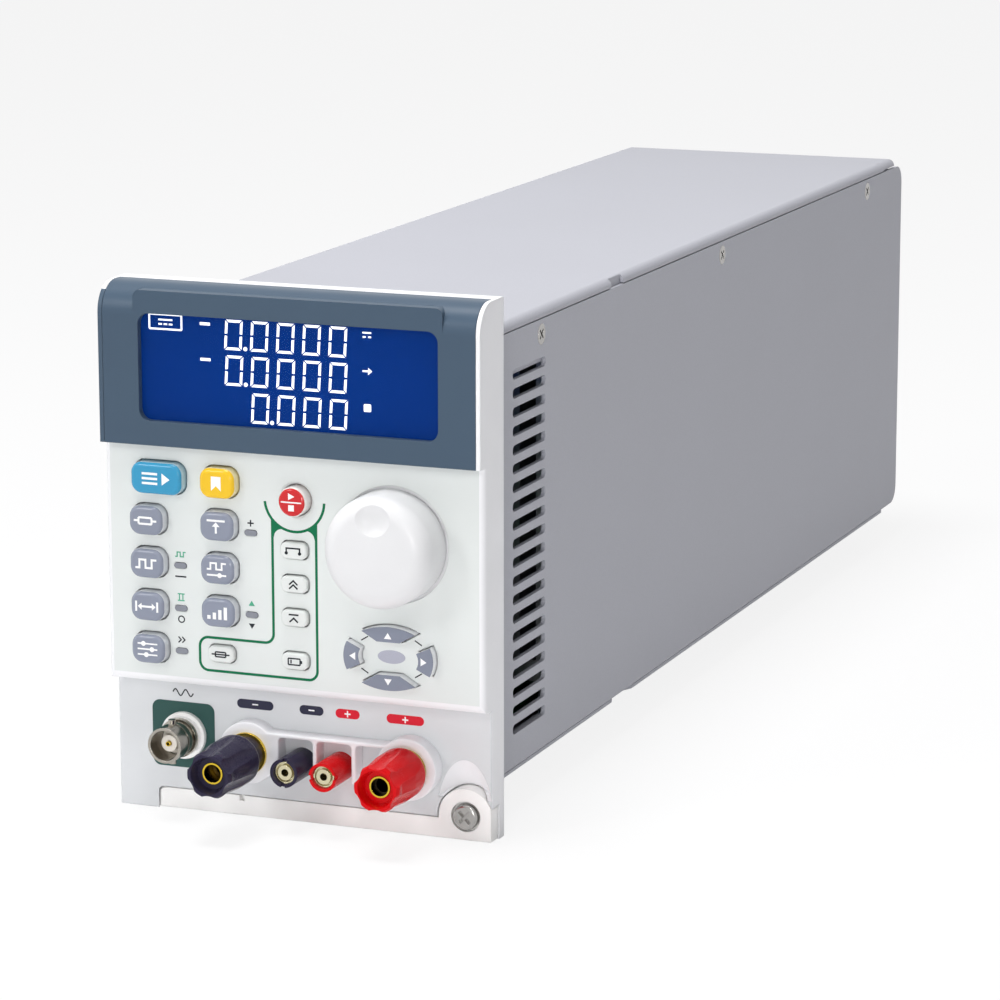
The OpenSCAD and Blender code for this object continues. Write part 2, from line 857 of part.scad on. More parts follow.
module knob() {
  foot = knob_gap - knob_seat_d;
  crown = knob_h - foot;
  color(frame_white) on_face(knob_x, knob_z, keypad_face) difference() {
    translate([0, 0, foot]) rotate_extrude() fillet_half(knob_d / 2, crown, knob_fillet);
    tube(knob_d / 2 - knob_skin, hub_r, foot - eps, knob_h - knob_fillet - knob_skin);
    rod(hub_r + eps, foot - eps, bush_proud + gap);
    rod(shaft_r, foot - eps, knob_h - knob_fillet - 0.5);
    translate([0, dip_place, knob_h + dip_rise]) sphere(r = dip_r);
  }
}

module encoder_body() {
  top = keypad_inner - board_face - gap;
  color(dark_plastic) on_face(knob_x, knob_z, board_face) difference() {
    union() {
      translate([-encoder_w / 2, -encoder_w / 2, 0]) cube([encoder_w, encoder_w, top]);
      rod(bush_r, top - eps, keypad_face - board_face + bush_proud);
    }
    rod(shaft_r + run, 1.2, keypad_face - board_face + bush_proud + eps);
  }
}

module encoder_shaft() {
  color(chrome) on_face(knob_x, knob_z, keypad_face)
    rod(shaft_r, board_face - keypad_face + 1.2 + gap, knob_h - knob_fillet - 0.5);
}

// Coaxial monitor socket

module bnc_shell() {
  color(chrome) on_face(coax_x, coax_z, terminal_face) difference() {
    union() {
      rod(coax_r - coax_groove, 2.8, coax_l - 1);
      rod(coax_r, coax_l - 4.6, coax_l);
      rod(coax_r, coax_l - 7.2, coax_l - 5.2);
      rod(coax_thread_r, -terminal_face - 4, 2.8 + eps);
      rod(coax_r + 0.45, 2.8, 4.2);
      translate([0, 0, -wall - 2.5]) cylinder(r = 7, h = 2.2, $fn = 6);
      for (a = [90, 270]) rotate(a) translate([0, 0, 7.6]) rotate([0, 90, 0]) rod(1, 0, coax_r + 1.2);
    }
    rod(coax_bore_r, 3.5, coax_l + eps);
    rod(2.6, -terminal_face - 4 - eps, 4);
  }
}

module bnc_flange() {
  color(frame_white) on_face(coax_x, coax_z, terminal_face) difference() {
    union() {
      rod(coax_flange_r, 0, 1.4);
      rod(coax_step_r, -wall, 2.7);
    }
    rod(coax_thread_r + part_gap, -wall - eps, 2.7 + eps);
  }
}

module bnc_dielectric() {
  color([0.92, 0.9, 0.84]) on_face(coax_x, coax_z, terminal_face) difference() {
    union() {
      rod(2.6 - part_gap, -terminal_face - 4, 3.5);
      rod(coax_bore_r - part_gap, 3.5 + part_gap, 5.2);
      rod(2.3, 3, 9.6);
    }
    rod(0.68 + part_gap, -terminal_face - 4 - eps, 9.6 + eps);
  }
}

module bnc_contact() {
  color(gold) on_face(coax_x, coax_z, terminal_face) difference() {
    rod(0.68, -terminal_face - 7, 10.4);
    rod(0.45, 6, 10.4 + eps);
  }
}

// Terminals

module terminal_shroud() {
  top = shroud_bridge;
  last = sense_pos_x + pocket_half + divider_t;
  color(frame_white) on_face(0, post_z, terminal_face) difference() {
    union() {
      for (x = [post_neg_x, post_pos_x]) translate([x, 0, 0]) rod(boss_r, 0, shroud_h);
      span([post_neg_x, -divider_drop, 0], [post_pos_x, top, shroud_h]);
    }
    for (x = [sense_neg_x, sense_pos_x])
      translate([x, top - pocket_top - boss_r, -eps]) linear_extrude(shroud_h + 2 * eps)
        round_rect(2 * pocket_half, 2 * boss_r, 1.2);
    difference() {
      translate([0, 0, -eps]) linear_extrude(shroud_h + 2 * eps)
        translate([(last + post_pos_x) / 2, top - pocket_top - boss_r])
          round_rect(post_pos_x - last, 2 * boss_r, 1.2);
      translate([post_pos_x, 0, 0]) rod(boss_r, -2 * eps, shroud_h + 2 * eps);
    }
    for (x = [post_neg_x, post_pos_x]) translate([x, 0, 0]) rod(stud_r + part_gap, -eps, shroud_h + eps);
  }
}

module load_studs() {
  color(gold)
    for (x = [post_neg_x, post_pos_x])
      on_face(x, post_z, terminal_face) difference() {
        union() {
          rod(stud_r, -terminal_face - stud_tail, stud_top);
          translate([0, 0, -wall - stud_nut_h]) rotate(30) cylinder(r = stud_nut_r, h = stud_nut_h, $fn = 6);
        }
        rod(post_socket_d / 2, stud_top - socket_depth, stud_top + eps);
      }
}

module load_washers() {
  color(gold)
    for (x = [post_neg_x, post_pos_x])
      on_face(x, post_z, terminal_face)
        tube(washer_r, stud_r + part_gap, shroud_h, shroud_h + washer_t);
}

module collar(x, tint) {
  low = shroud_h + washer_t;
  color(tint) on_face(x, post_z, terminal_face)
    tube(collar_r, stud_r + part_gap, low, low + collar_l);
}

module neg_collar() { collar(post_neg_x, post_navy); }
module pos_collar() { collar(post_pos_x, signal_red); }

// Threaded brass insert that carries the cap; its lip is the gold ring in the cap's mouth
module insert(x, lift) {
  low = cap_seat + lift + cap_bore_z + gap;
  top = low + insert_l;
  color(gold) on_face(x, post_z, terminal_face) {
    difference() {
      union() {
        rod(insert_r, low, top - lip_t + lip_web);
        rod(lip_r, low, top + lip_proud);
      }
      rod(stud_r + run, low - eps, top - lip_t);
      rod(post_socket_d / 2 + gap, low, top + lip_proud + eps);
    }
  }
}

module neg_insert() { insert(post_neg_x, neg_lift); }
module pos_insert() { insert(post_pos_x, 0); }

// Outer half section of a cap: round shoulder, waist and a slightly flared nose
module cap_profile() {
  r = cap_d / 2;
  shoulder = 2.4;
  waist = cap_l * 0.42;
  translate([r - shoulder, shoulder]) circle(shoulder);
  square([r - shoulder, shoulder + eps]);
  polygon([[0, shoulder], [r, shoulder], [r, waist], [cap_nose_r - 0.2, cap_l - 3.2],
    [cap_nose_r, cap_l - 1], [cap_nose_r - 0.5, cap_l], [0, cap_l]]);
}

// Fluted cap over its insert
module cap(x, lift, tint) {
  flute_in = cap_nose_r - flute_d + flute_r;
  funnel = insert_r + 0.8;
  color(tint) on_face(x, post_z, terminal_face + cap_seat + lift) difference() {
    rotate_extrude() cap_profile();
    rod(collar_r + gap, -eps, cap_bore_z);
    rod(insert_r + run, 0, cap_l - funnel_d - funnel_floor);
    rod(lip_r + run, 0, cap_l);
    translate([0, 0, cap_l - funnel_d]) cylinder(r1 = insert_r, r2 = funnel, h = funnel_d + part_gap);
    for (i = [0:flute_n - 1])
      rotate(360 / flute_n * (i + 0.5)) translate([flute_in, 0, cap_l])
        rotate([0, -flute_tilt, 0]) rod(flute_r, -cap_l, 4);
  }
}

module neg_cap() { cap(post_neg_x, neg_lift, post_navy); }
module pos_cap() { cap(post_pos_x, 0, signal_red); }

module sense_sleeve(x, tint, turn) {
  color(tint) on_face(x, sense_z, terminal_face) difference() {
    rod(sense_r, 0, sense_l);
    rod(sense_ring_r, -eps, sense_l + eps);
    for (a = [turn, turn + 180]) rotate(a)
      span([sense_ring_r - eps, -sense_notch_w / 2, sense_l - sense_notch_d],
        [sense_r + eps, sense_notch_w / 2, sense_l + eps]);
  }
}

module sense_neg_sleeve() { sense_sleeve(sense_neg_x, post_navy, 85); }
module sense_pos_sleeve() { sense_sleeve(sense_pos_x, signal_red, 5); }

module sense_contacts() {
  inner = sense_ring_r - part_gap;
  groove = sense_l - sense_tube_back - sense_groove_d;
  color(chrome)
    for (x = [sense_neg_x, sense_pos_x])
      on_face(x, sense_z, terminal_face) difference() {
        union() {
          rod(inner, -wall - 1, groove);
          tube(inner, inner - sense_rim_t, groove - eps, sense_l - sense_rim_back);
          rod(inner - sense_rim_t - sense_groove_w, groove - eps, sense_l - sense_tube_back);
          rod(sense_tail_r, -terminal_face - sense_tail_l, -wall);
        }
        rod(sense_pin_d / 2, sense_l - sense_bore_l, sense_l);
      }
}

// Extraction lever

module extraction_lever() {
  color(frame_white) difference() {
    union() {
      intersection() {
        translate([hinge_x, hinge_y, lever_lift])
          rotate_extrude() fillet_half(barrel_r, lever_h - lever_lift, barrel_edge);
        span([hinge_x - 2 * barrel_r, -lever_front, 0],
          [hinge_x + 2 * barrel_r, hinge_y + 2 * barrel_r, frame_h]);
      }
      span([hinge_x, -lever_front, lever_lift], [screw_x, -lever_back, lever_h]);
      intersection() {
        union() {
          on_face(screw_x, screw_z, lever_front) rod(lever_end_r, -lever_t, 0);
          span([screw_x - lever_end_r, -lever_front, lever_lift], [lever_right, -lever_back, screw_z]);
        }
        span([hinge_x, -lever_front - eps, lever_lift],
          [lever_right, -lever_back + eps, screw_z + lever_end_r]);
      }
    }
    translate([hinge_x, hinge_y, 0]) {
      rod(pin_r + run, 0, lever_h + eps);
      rod(pin_head_r + run, 0, lever_lift + gap + pin_head_h + gap);
    }
    on_face(screw_x, screw_z, lever_front) {
      rod(screw_well_r, -screw_well_d, eps);
      rod(screw_r + run, -lever_t - eps, eps);
    }
    notch_x = post_neg_x - lever_notch_place;
    span([notch_x - lever_notch_w / 2, -lever_front - eps, lever_h - lever_notch_d],
      [notch_x + lever_notch_w / 2, -lever_front + lever_notch_d, lever_h + eps]);
  }
}

module lever_pin() {
  color(chrome) translate([hinge_x, hinge_y, 0]) {
    rod(pin_r, lever_lift + gap, pin_boss_z - 1.2);
    rod(pin_head_r, lever_lift + gap, lever_lift + gap + pin_head_h);
  }
}

// Cross recess cut into a screw head whose top is at z = top
module cross_recess(l, w, d, top) {
  for (a = [45, 135]) rotate(a)
    span([-l / 2, -w / 2, top - d], [l / 2, w / 2, top + eps]);
}

module captive_screw() {
  well = -screw_well_d + gap;
  color(chrome) on_face(screw_x, screw_z, lever_front) difference() {
    union() {
      translate([0, 0, well]) rotate_extrude() fillet_half(screw_head_r, screw_head_h, 1);
      rod(screw_r, -lever_front - screw_reach, well + eps);
    }
    cross_recess(1.2 * screw_head_r, 0.9, 1.2, well + screw_head_h);
  }
}

// Case

module side_outline() {
  translate([case_front, panel_z]) square([case_back - case_front - corner_r, panel_top - panel_z]);
  translate([case_front, panel_z + corner_r])
    square([case_back - case_front, panel_top - panel_z - 2 * corner_r]);
  for (z = [panel_z + corner_r, panel_top - corner_r])
    translate([case_back - corner_r, z]) circle(corner_r);
}

// Right-hand panel: flat sheet, front return flange, vent slots, countersunk holes
module side_panel() {
  outer = case_w / 2;
  screw_height = panel_top - screw_drop;
  difference() {
    union() {
      translate([panel_in, 0, 0]) rotate([90, 0, 90]) linear_extrude(sheet) side_outline();
      span([panel_in - flange_w, case_front, keypad_z + wall],
        [panel_in, case_front + sheet, panel_top - flange_drop]);
    }
    for (i = [0:vent_n - 1])
      translate([panel_in - eps, vent_y + vent_l / 2, vent_top - i * vent_pitch])
        rotate([90, 0, 90]) linear_extrude(sheet + 2 * eps) stadium(vent_l, vent_h);
    for (y = case_screw_y)
      translate([outer, y, screw_height]) rotate([0, -90, 0]) {
        rod(case_screw_r + part_gap, -eps, sheet + eps);
        translate([0, 0, -part_gap])
          cylinder(r1 = case_head_r + 2 * part_gap, r2 = case_screw_r + part_gap, h = sheet);
      }
  }
}

module right_panel() { color(case_silver) side_panel(); }
module left_panel() { color(case_silver) mirror([1, 0, 0]) side_panel(); }

// Cover section: top sheet with rolled edges, lips above the panels, flanges inside them
module cover_half_section() {
  outer = case_w / 2 - part_gap;
  lip = panel_top + cover_lip_gap;
  inside = panel_in - part_gap;
  translate([0, cover_top - plate]) square([outer - cover_edge_r, plate]);
  intersection() {
    translate([outer - cover_edge_r, cover_top - cover_edge_r]) difference() {
      circle(cover_edge_r);
      circle(cover_edge_r - plate);
    }
    translate([outer - cover_edge_r, cover_top - cover_edge_r]) square(2 * cover_edge_r);
  }
  translate([outer - plate, lip]) square([plate, cover_top - cover_edge_r - lip]);
  translate([inside - plate, panel_top - cover_flange_h])
    square([plate, cover_top - plate / 2 - panel_top + cover_flange_h]);
}

module top_cover() {
  outer = case_w / 2;
  color(case_silver) difference() {
    translate([0, cover_back, 0]) rotate([90, 0, 0]) linear_extrude(cover_back - case_front) {
      cover_half_section();
      mirror([1, 0]) cover_half_section();
    }
    for (x = [-1, 1]) {
      side = x * (panel_in - part_gap + outer + eps) / 2;
      width = outer + eps - panel_in + part_gap;
      translate([side, cover_notch[0] + cover_notch[1] / 2, cover_top - cover_edge_r])
        cube([width, cover_notch[1], 4], center = true);
      translate([side, lip_back, cover_top - cover_edge_r - 4]) translate([-width / 2, 0, 0])
        cube([width, cover_back, 4]);
      for (y = case_screw_y)
        translate([x * (panel_in + eps), y, panel_top - screw_drop]) rotate([0, -90 * x, 0])
          rod(case_screw_r + part_gap, -eps, plate + 2 * eps);
    }
    span([-panel_in, rear_y - part_gap, panel_top - cover_flange_h - eps],
      [panel_in, cover_back + eps, cover_top - plate]);
  }
}

// Half plan of the bottom plate: a notch in each edge, with a slanted lead-in behind it
module floor_half_plan() {
  edge = case_w / 2 - 1;
  from = floor_notch[0];
  to = from + floor_notch[1];
  polygon([[0, case_front], [edge, case_front], [edge, from], [edge - floor_notch_in, from],
    [edge - floor_notch_in, to], [edge, to + lead_in], [edge, floor_back], [0, floor_back]]);
}

module bottom_plate() {
  rail = panel_in - part_gap;
  color(case_silver) {
    translate([0, 0, floor_z]) linear_extrude(plate) {
      floor_half_plan();
      mirror([1, 0]) floor_half_plan();
    }
    for (x = [-1, 1], y = [[case_front + 2, floor_notch[0] - 2], [floor_notch[0] + 20, floor_back]])
      translate([x * (rail - plate / 2), y[0], floor_top + rail_h / 2 - eps / 2])
        translate([-plate / 2, 0, -rail_h / 2]) cube([plate, y[1] - y[0], rail_h]);
    for (x = [-1, 1], y = [sink_front + 12, sink_front + sink_l - 12])
      translate([x * (sink_w / 2 - 3), y, 0]) rod(2.8, floor_top - eps, sink_base_z);
    for (x = [-1, 1], y = [board_front + 8, sink_front + sink_l / 2, rear_y - board_post_back])
      translate([x * (board_w / 2 - 4), y, 0]) rod(2.5, floor_top - eps, board_z);
  }
}

// Ring-shaped finger guard openings in front of the fan
module guard_openings() {
  ring = 5.2;
  web = 2.2;
  difference() {
    for (r = [fan_hub_r + 3 : ring + web : fan_r - ring]) difference() {
      circle(r + ring);
      circle(r);
    }
    for (a = [45, 135]) rotate(a) square([2 * fan_w, 4], center = true);
  }
}

module rear_panel() {
  low = floor_top + part_gap;
  inside = panel_in - part_gap;
  color(case_silver) difference() {
    span([-inside, rear_y, low], [inside, rear_y + sheet, cover_top - plate - part_gap]);
    translate([0, rear_y + sheet + eps, fan_z]) rotate([90, 0, 0])
      linear_extrude(sheet + 2 * eps) guard_openings();
    for (x = [-1, 1], z = [-1, 1])
      translate([x * fan_hole, rear_y - eps, fan_z + z * fan_hole]) rotate([-90, 0, 0])
        rod(2.2, 0, sheet + 2 * eps);
    span([-connector_w / 2 - part_gap, rear_y - eps, board_top + connector_lift - part_gap],
      [connector_w / 2 + part_gap, rear_y + sheet + eps, board_top + connector_lift + connector_h + part_gap]);
  }
}

module case_screws() {
  outer = case_w / 2;
  color(chrome)
    for (x = [-1, 1], y = case_screw_y)
      translate([x * outer, y, panel_top - screw_drop]) rotate([0, -90 * x, 0]) {
        difference() {
          union() {
            cylinder(r1 = case_head_r, r2 = case_screw_r, h = sheet - part_gap);
            rod(case_screw_r, 0, sheet + plate + 2);
          }
          rotate([180, 0, 0]) cross_recess(1.2 * case_head_r, 0.6, 0.6, 0);
        }
      }
}

// Cooling and boards

module heatsink() {
  step = (sink_w - fin_t) / (fin_n - 1);
  color(aluminium) translate([0, sink_front + sink_l, sink_base_z]) rotate([90, 0, 0])
    linear_extrude(sink_l) {
      translate([-sink_w / 2, 0]) square([sink_w, sink_base_t]);
      for (i = [0:fin_n - 1])
        translate([-sink_w / 2 + i * step, 0]) square([fin_t, sink_base_t + fin_h]);
    }
}

module fan_frame() {
  color(dark_plastic) translate([0, fan_y + fan_t, fan_z]) rotate([90, 0, 0]) difference() {
    union() {
      difference() {
        linear_extrude(fan_t) round_rect(fan_w, fan_w, 4);
        rod(fan_r, -eps, fan_t + eps);
      }
      rod(fan_hub_r - 1, 0, strut_t);
      rod(axle_r + 2.5, 0, fan_t - 9);
      for (i = [0:strut_n - 1]) rotate(90 * i + 20)
        translate([fan_hub_r - 2, -strut_t / 2, 0]) cube([fan_r - fan_hub_r + 3, strut_t, strut_t]);
    }
    for (x = [-1, 1], y = [-1, 1])
      translate([x * fan_hole, y * fan_hole, 0]) rod(2.2, -eps, fan_t + eps);
    rod(axle_r + run, 1, fan_t);
  }
}

module fan_rotor() {
  low = strut_t + 1;
  high = fan_t - 1;
  color(dark_plastic) translate([0, fan_y + fan_t, fan_z]) rotate([90, 0, 0]) {
    difference() {
      rod(fan_hub_r, low, high);
      rod(fan_hub_r - 2, low - eps, high - 2.5);
    }
    rod(axle_r, 1 + gap, high - 2);
    intersection() {
      tube(fan_r - 0.8, fan_hub_r - 0.5, low + 0.5, high - 0.5);
      for (i = [0:blade_n - 1]) rotate(360 / blade_n * i)
        translate([0, 0, (low + high) / 2]) rotate([blade_pitch, 0, 0])
          translate([0, -20, -0.9]) cube([fan_r, 40, 1.8]);
    }
  }
}

module power_board() {
  color(board_green)
    span([-board_w / 2, board_front, board_z], [board_w / 2, rear_y - part_gap, board_top]);
}

// Power transistors bolted under the heatsink, their legs down to the board
module power_transistors() {
  step = (sink_l - 60) / (transistor_n / 2 - 1);
  color(dark_plastic)
    for (x = [-1, 1], i = [0:transistor_n / 2 - 1])
      translate([x * 14, sink_front + 30 + i * step, sink_base_z]) {
        span([-transistor[0] / 2, -transistor[1] / 2, -transistor[2]],
          [transistor[0] / 2, transistor[1] / 2, 0]);
        for (k = [-1, 0, 1])
          span([k * 5.4 - 0.6, transistor[1] / 2 - eps, board_top - sink_base_z],
            [k * 5.4 + 0.6, transistor[1] / 2 + 0.8, -transistor[2] / 2]);
      }
}

module rear_connector() {
  low = board_top + connector_lift;
  color(dark_plastic) difference() {
    union() {
      span([-connector_w / 2, rear_y - connector_in, low],
        [connector_w / 2, rear_y + sheet + connector_out, low + connector_h]);
      for (x = [-1, 1])
        translate([x * (connector_w / 2 - 6), rear_y - connector_in / 2, 0]) rod(2.5, board_top, low + eps);
    }
    for (i = [0:pin_cols - 1], j = [0:pin_rows - 1])
      translate([(i - (pin_cols - 1) / 2) * pin_pitch, rear_y + sheet + connector_out,
        low + connector_h / 2 + (j - (pin_rows - 1) / 2) * pin_pitch])
        rotate([90, 0, 0]) rod(1, -eps, connector_out);
  }
}

placed() front_frame();
placed() display_bezel();
placed() display_window();
placed() lcd_module();
placed() control_board();
placed() tact_switches();
placed() mode_key();
placed() preset_key();
placed() load_key();
placed() dynamic_key();
placed() range_key();
placed() config_key();
placed() limit_key();
placed() dynamic_setting_key();
placed() level_key();
placed() start_stop_key();
placed() short_key();
placed() opp_key();
placed() ocp_key();
placed() bms_key();
placed() fuse_key();
placed() up_key();
placed() down_key();
placed() left_key();
placed() right_key();
placed() led_lenses();
placed() knob();
placed() encoder_body();
placed() encoder_shaft();
placed() bnc_shell();
placed() bnc_flange();
placed() bnc_dielectric();
placed() bnc_contact();
placed() terminal_shroud();
placed() load_studs();
placed() load_washers();
placed() neg_collar();
placed() pos_collar();
placed() neg_insert();
placed() pos_insert();
placed() neg_cap();
placed() pos_cap();
placed() sense_neg_sleeve();
placed() sense_pos_sleeve();
placed() sense_contacts();
placed() extraction_lever();
placed() lever_pin();
placed() captive_screw();
placed() right_panel();
placed() left_panel();
placed() top_cover();
placed() bottom_plate();
placed() rear_panel();
placed() case_screws();
placed() heatsink();
placed() fan_frame();
placed() fan_rotor();
placed() power_board();
placed() power_transistors();
placed() rear_connector();
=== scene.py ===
"""Looks of a bench electronic load: finishes, printed marks, display and studio.

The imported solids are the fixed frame. Every piece made here is in metres, in the same frame,
and shapes on the front are drawn in millimetres: x to the right, y up, out of the panel to the viewer.
"""
import logging
import math
from abc import ABC, abstractmethod
from dataclasses import dataclass, field
from enum import Enum
from typing import Callable, Dict, List, Optional, Sequence, Tuple, Union

import bmesh
import bpy
from mathutils import Matrix, Vector


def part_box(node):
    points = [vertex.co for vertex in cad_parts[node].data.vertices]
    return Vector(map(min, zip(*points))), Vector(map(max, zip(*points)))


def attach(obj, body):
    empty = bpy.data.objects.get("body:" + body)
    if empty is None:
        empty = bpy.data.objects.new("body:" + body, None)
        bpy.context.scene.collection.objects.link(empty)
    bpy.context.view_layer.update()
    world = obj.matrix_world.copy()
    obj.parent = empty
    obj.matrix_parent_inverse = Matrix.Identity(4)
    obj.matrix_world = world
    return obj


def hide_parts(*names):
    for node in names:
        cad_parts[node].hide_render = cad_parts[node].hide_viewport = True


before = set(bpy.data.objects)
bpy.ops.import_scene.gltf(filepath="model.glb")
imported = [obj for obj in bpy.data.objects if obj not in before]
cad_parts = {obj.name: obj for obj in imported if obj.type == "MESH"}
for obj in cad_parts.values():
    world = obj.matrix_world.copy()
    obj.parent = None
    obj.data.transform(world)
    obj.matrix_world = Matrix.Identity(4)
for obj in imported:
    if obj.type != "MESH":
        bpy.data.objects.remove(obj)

LOG = logging.getLogger("electronic_load")

MM = 0.001
IMAGE_PX = 1000

# Prints, in millimetres, and how finely curves are drawn
FILM = 0.05
THICK_FILM = 0.06
SINK = 0.01
LAYER_STEP = 0.003
LAYERS = 5
CIRCLE_SIDES = 32
CORNER_STEPS = 8
ARC_STEP_DEG = 7
SMOOTH_DEG = 35.0
NOISE_MIDDLE = 0.5

Rgb = Tuple[int, int, int]
Point = Tuple[float, float]
Triple = Tuple[float, float, float]
Quad = Tuple[float, float, float, float]
Line = Tuple[Point, ...]
Material = bpy.types.Material


def linear(rgb: Rgb) -> Quad:
    """Turns a display colour into the renderer's linear one.

    Args:
        rgb: Red, green and blue from 0 to 255.

    Returns:
        Linear red, green, blue and an alpha of 1.
    """
    def one(level: int) -> float:
        """One channel."""
        c = level / 255
        return c / 12.92 if c <= 0.04045 else ((c + 0.055) / 1.055) ** 2.4

    return (one(rgb[0]), one(rgb[1]), one(rgb[2]), 1.0)


def shaded(rgb: Rgb, share: float) -> Rgb:
    """The same colour made lighter, or darker where share is below 1."""
    return tuple(max(0, min(255, round(c * share))) for c in rgb)


# Shader expressions


def operation(kind: str, swapped: bool = False) -> Callable[["Wire", "Value"], "Wire"]:
    """Makes the method behind a Python operator.

    Args:
        kind: The Math node's operation.
        swapped: True where the other value stands on the left.

    Returns:
        A method that adds the Math node.
    """
    def method(self: "Wire", other: "Value") -> "Wire":
        """Adds the node."""
        return self.graph.maths(kind, *((other, self) if swapped else (self, other)))

    return method


class Wire:
    """A shader output that takes part in Python expressions."""

    def __init__(self, graph: "Graph", socket: bpy.types.NodeSocket) -> None:
        """Keeps the graph that new maths nodes go into, and the output."""
        self.graph = graph
        self.socket = socket

    def swing(self, share: float) -> "Wire":
        """Noise counted from its middle, times share."""
        return (self - NOISE_MIDDLE) * share

    __add__, __radd__ = operation("ADD"), operation("ADD", swapped=True)
    __sub__, __rsub__ = operation("SUBTRACT"), operation("SUBTRACT", swapped=True)
    __mul__, __rmul__ = operation("MULTIPLY"), operation("MULTIPLY", swapped=True)
    __gt__, __lt__ = operation("GREATER_THAN"), operation("LESS_THAN")
    __or__ = operation("MAXIMUM")


Value = Union[Wire, float, int, Tuple[float, ...]]
Sockets = Dict[Union[str, int], Value]


class Graph:
    """A node tree, with one method that makes any node."""

    def __init__(self, owner: Union[Material, bpy.types.World]) -> None:
        """Takes over the owner's node tree, emptied."""
        owner.use_nodes = True
        self.owner = owner
        self.tree = owner.node_tree
        self.tree.nodes.clear()

    def node(self, kind: str, settings: Optional[Dict[str, object]] = None,
             sockets: Optional[Sockets] = None) -> bpy.types.Node:
        """Makes a node.

        Args:
            kind: The node's type.
            settings: Properties of the node, with a ramp's stops under "stops".
            sockets: Values or wires of its inputs, by name or index.

        Returns:
            The new node.
        """
        made = self.tree.nodes.new(kind)
        for key, value in (settings or {}).items():
            if key == "stops":
                elements = made.color_ramp.elements
                while len(elements) < len(value):
                    elements.new(1.0)
                for element, (place, colour) in zip(elements, value):
                    element.position, element.color = place, colour
            else:
                setattr(made, key, value)
        for key, value in (sockets or {}).items():
            if isinstance(value, Wire):
                self.tree.links.new(value.socket, made.inputs[key])
            else:
                made.inputs[key].default_value = value
        return made

    def out(self, node: bpy.types.Node, output: Union[str, int] = 0) -> Wire:
        """Wraps one of a node's outputs."""
        return Wire(self, node.outputs[output])

    def maths(self, operation: str, *values: Value) -> Wire:
        """Adds a Math node for an expression."""
        return self.out(self.node("ShaderNodeMath", {"operation": operation}, dict(enumerate(values))))

    def clamp(self, value: Value) -> Wire:
        """Keeps a value from 0 to 1."""
        return self.out(self.node("ShaderNodeClamp", None, {"Value": value}))

    def place(self, centre: Optional[Vector] = None) -> Wire:
        """The point on the piece in its own frame, counted from centre."""
        raw = self.out(self.node("ShaderNodeTexCoord"), "Object")
        return raw if centre is None else self.mapped(raw, Location=tuple(-c for c in centre))

    def mapped(self, point: Wire, **sockets: Triple) -> Wire:
        """The same point, moved by Location or stretched by Scale."""
        return self.out(self.node("ShaderNodeMapping", {"vector_type": "POINT"},
                                  {"Vector": point, **sockets}))

    def noise(self, point: Wire, grain_mm: float, detail: float = 2.0) -> Wire:
        """Noise whose features are about grain_mm across."""
        return self.out(self.node("ShaderNodeTexNoise", None,
                                  {"Vector": point, "Scale": 1 / (grain_mm * MM), "Detail": detail}))

    def mix(self, factor: Value, low: Value, high: Value) -> Wire:
        """Mixes two colours."""
        made = self.node("ShaderNodeMix", {"data_type": "RGBA"}, {0: factor, 6: low, 7: high})
        return self.out(made, 2)

    def ramp(self, factor: Value, stops: Sequence[Tuple[float, Tuple[float, ...]]]) -> Wire:
        """A colour ramp."""
        return self.out(self.node("ShaderNodeValToRGB", {"stops": stops}, {"Fac": factor}))

    def seen(self) -> Wire:
        """1 for a ray from the camera, a reflection or a clear sheet."""
        path = self.node("ShaderNodeLightPath")
        kinds = ("Is Camera Ray", "Is Glossy Ray", "Is Transmission Ray")
        camera, glossy, clear = (self.out(path, kind) for kind in kinds)
        return camera | glossy | clear

    def axes(self, point: Wire) -> Tuple[Wire, Wire, Wire]:
        """The three parts of a vector."""
        made = self.node("ShaderNodeSeparateXYZ", None, {0: point})
        return self.out(made, 0), self.out(made, 1), self.out(made, 2)

    def edge_normal(self, radius_mm: float) -> Wire:
        """A normal that rolls over sharp edges, as a moulding's do."""
        return self.out(self.node("ShaderNodeBevel", {"samples": 6}, {"Radius": radius_mm * MM}))

    def bump(self, height: Wire, depth_mm: float, normal: Optional[Wire] = None) -> Wire:
        """A Bump node over an optional base normal."""
        base = {} if normal is None else {"Normal": normal}
        return self.out(self.node("ShaderNodeBump", None, {"Height": height, "Distance": depth_mm * MM,
                                                           "Strength": 1.0, **base}))


class Shader(Graph):
    """The node tree of one material."""

    def __init__(self, name: str) -> None:
        """Makes the material."""
        super().__init__(bpy.data.materials.new(name))

    def surface(self, sockets: Sockets) -> Material:
        """Closes the tree with a Principled shader.

        Args:
            sockets: Its values and wires.

        Returns:
            The finished material.
        """
        shader = self.node("ShaderNodeBsdfPrincipled", None, sockets)
        return self.close(self.out(shader))

    def close(self, shader: Wire) -> Material:
        """Sends a shader to the output."""
        self.node("ShaderNodeOutputMaterial", None, {"Surface": shader})
        return self.owner


# Finishes


@dataclass(frozen=True)
class Finish(ABC):
    """A named finish, built into one material the first time it is used."""

    name: str
    colour: Rgb

    @abstractmethod
    def build(self, shader: Shader) -> Material:
        """Fills a new shader with the finish.

        Args:
            shader: The empty shader.

        Returns:
            The finished material.
        """

    def blend(self, shader: Shader, factor: Wire, tones: Point) -> Wire:
        """The colour, from its first tone to its second by factor."""
        return shader.mix(factor, *(linear(shaded(self.colour, tone)) for tone in tones))

    def material(self) -> Material:
        """The finish's material, made once."""
        found = bpy.data.materials.get(self.name)
        return found if found else self.build(Shader(self.name))


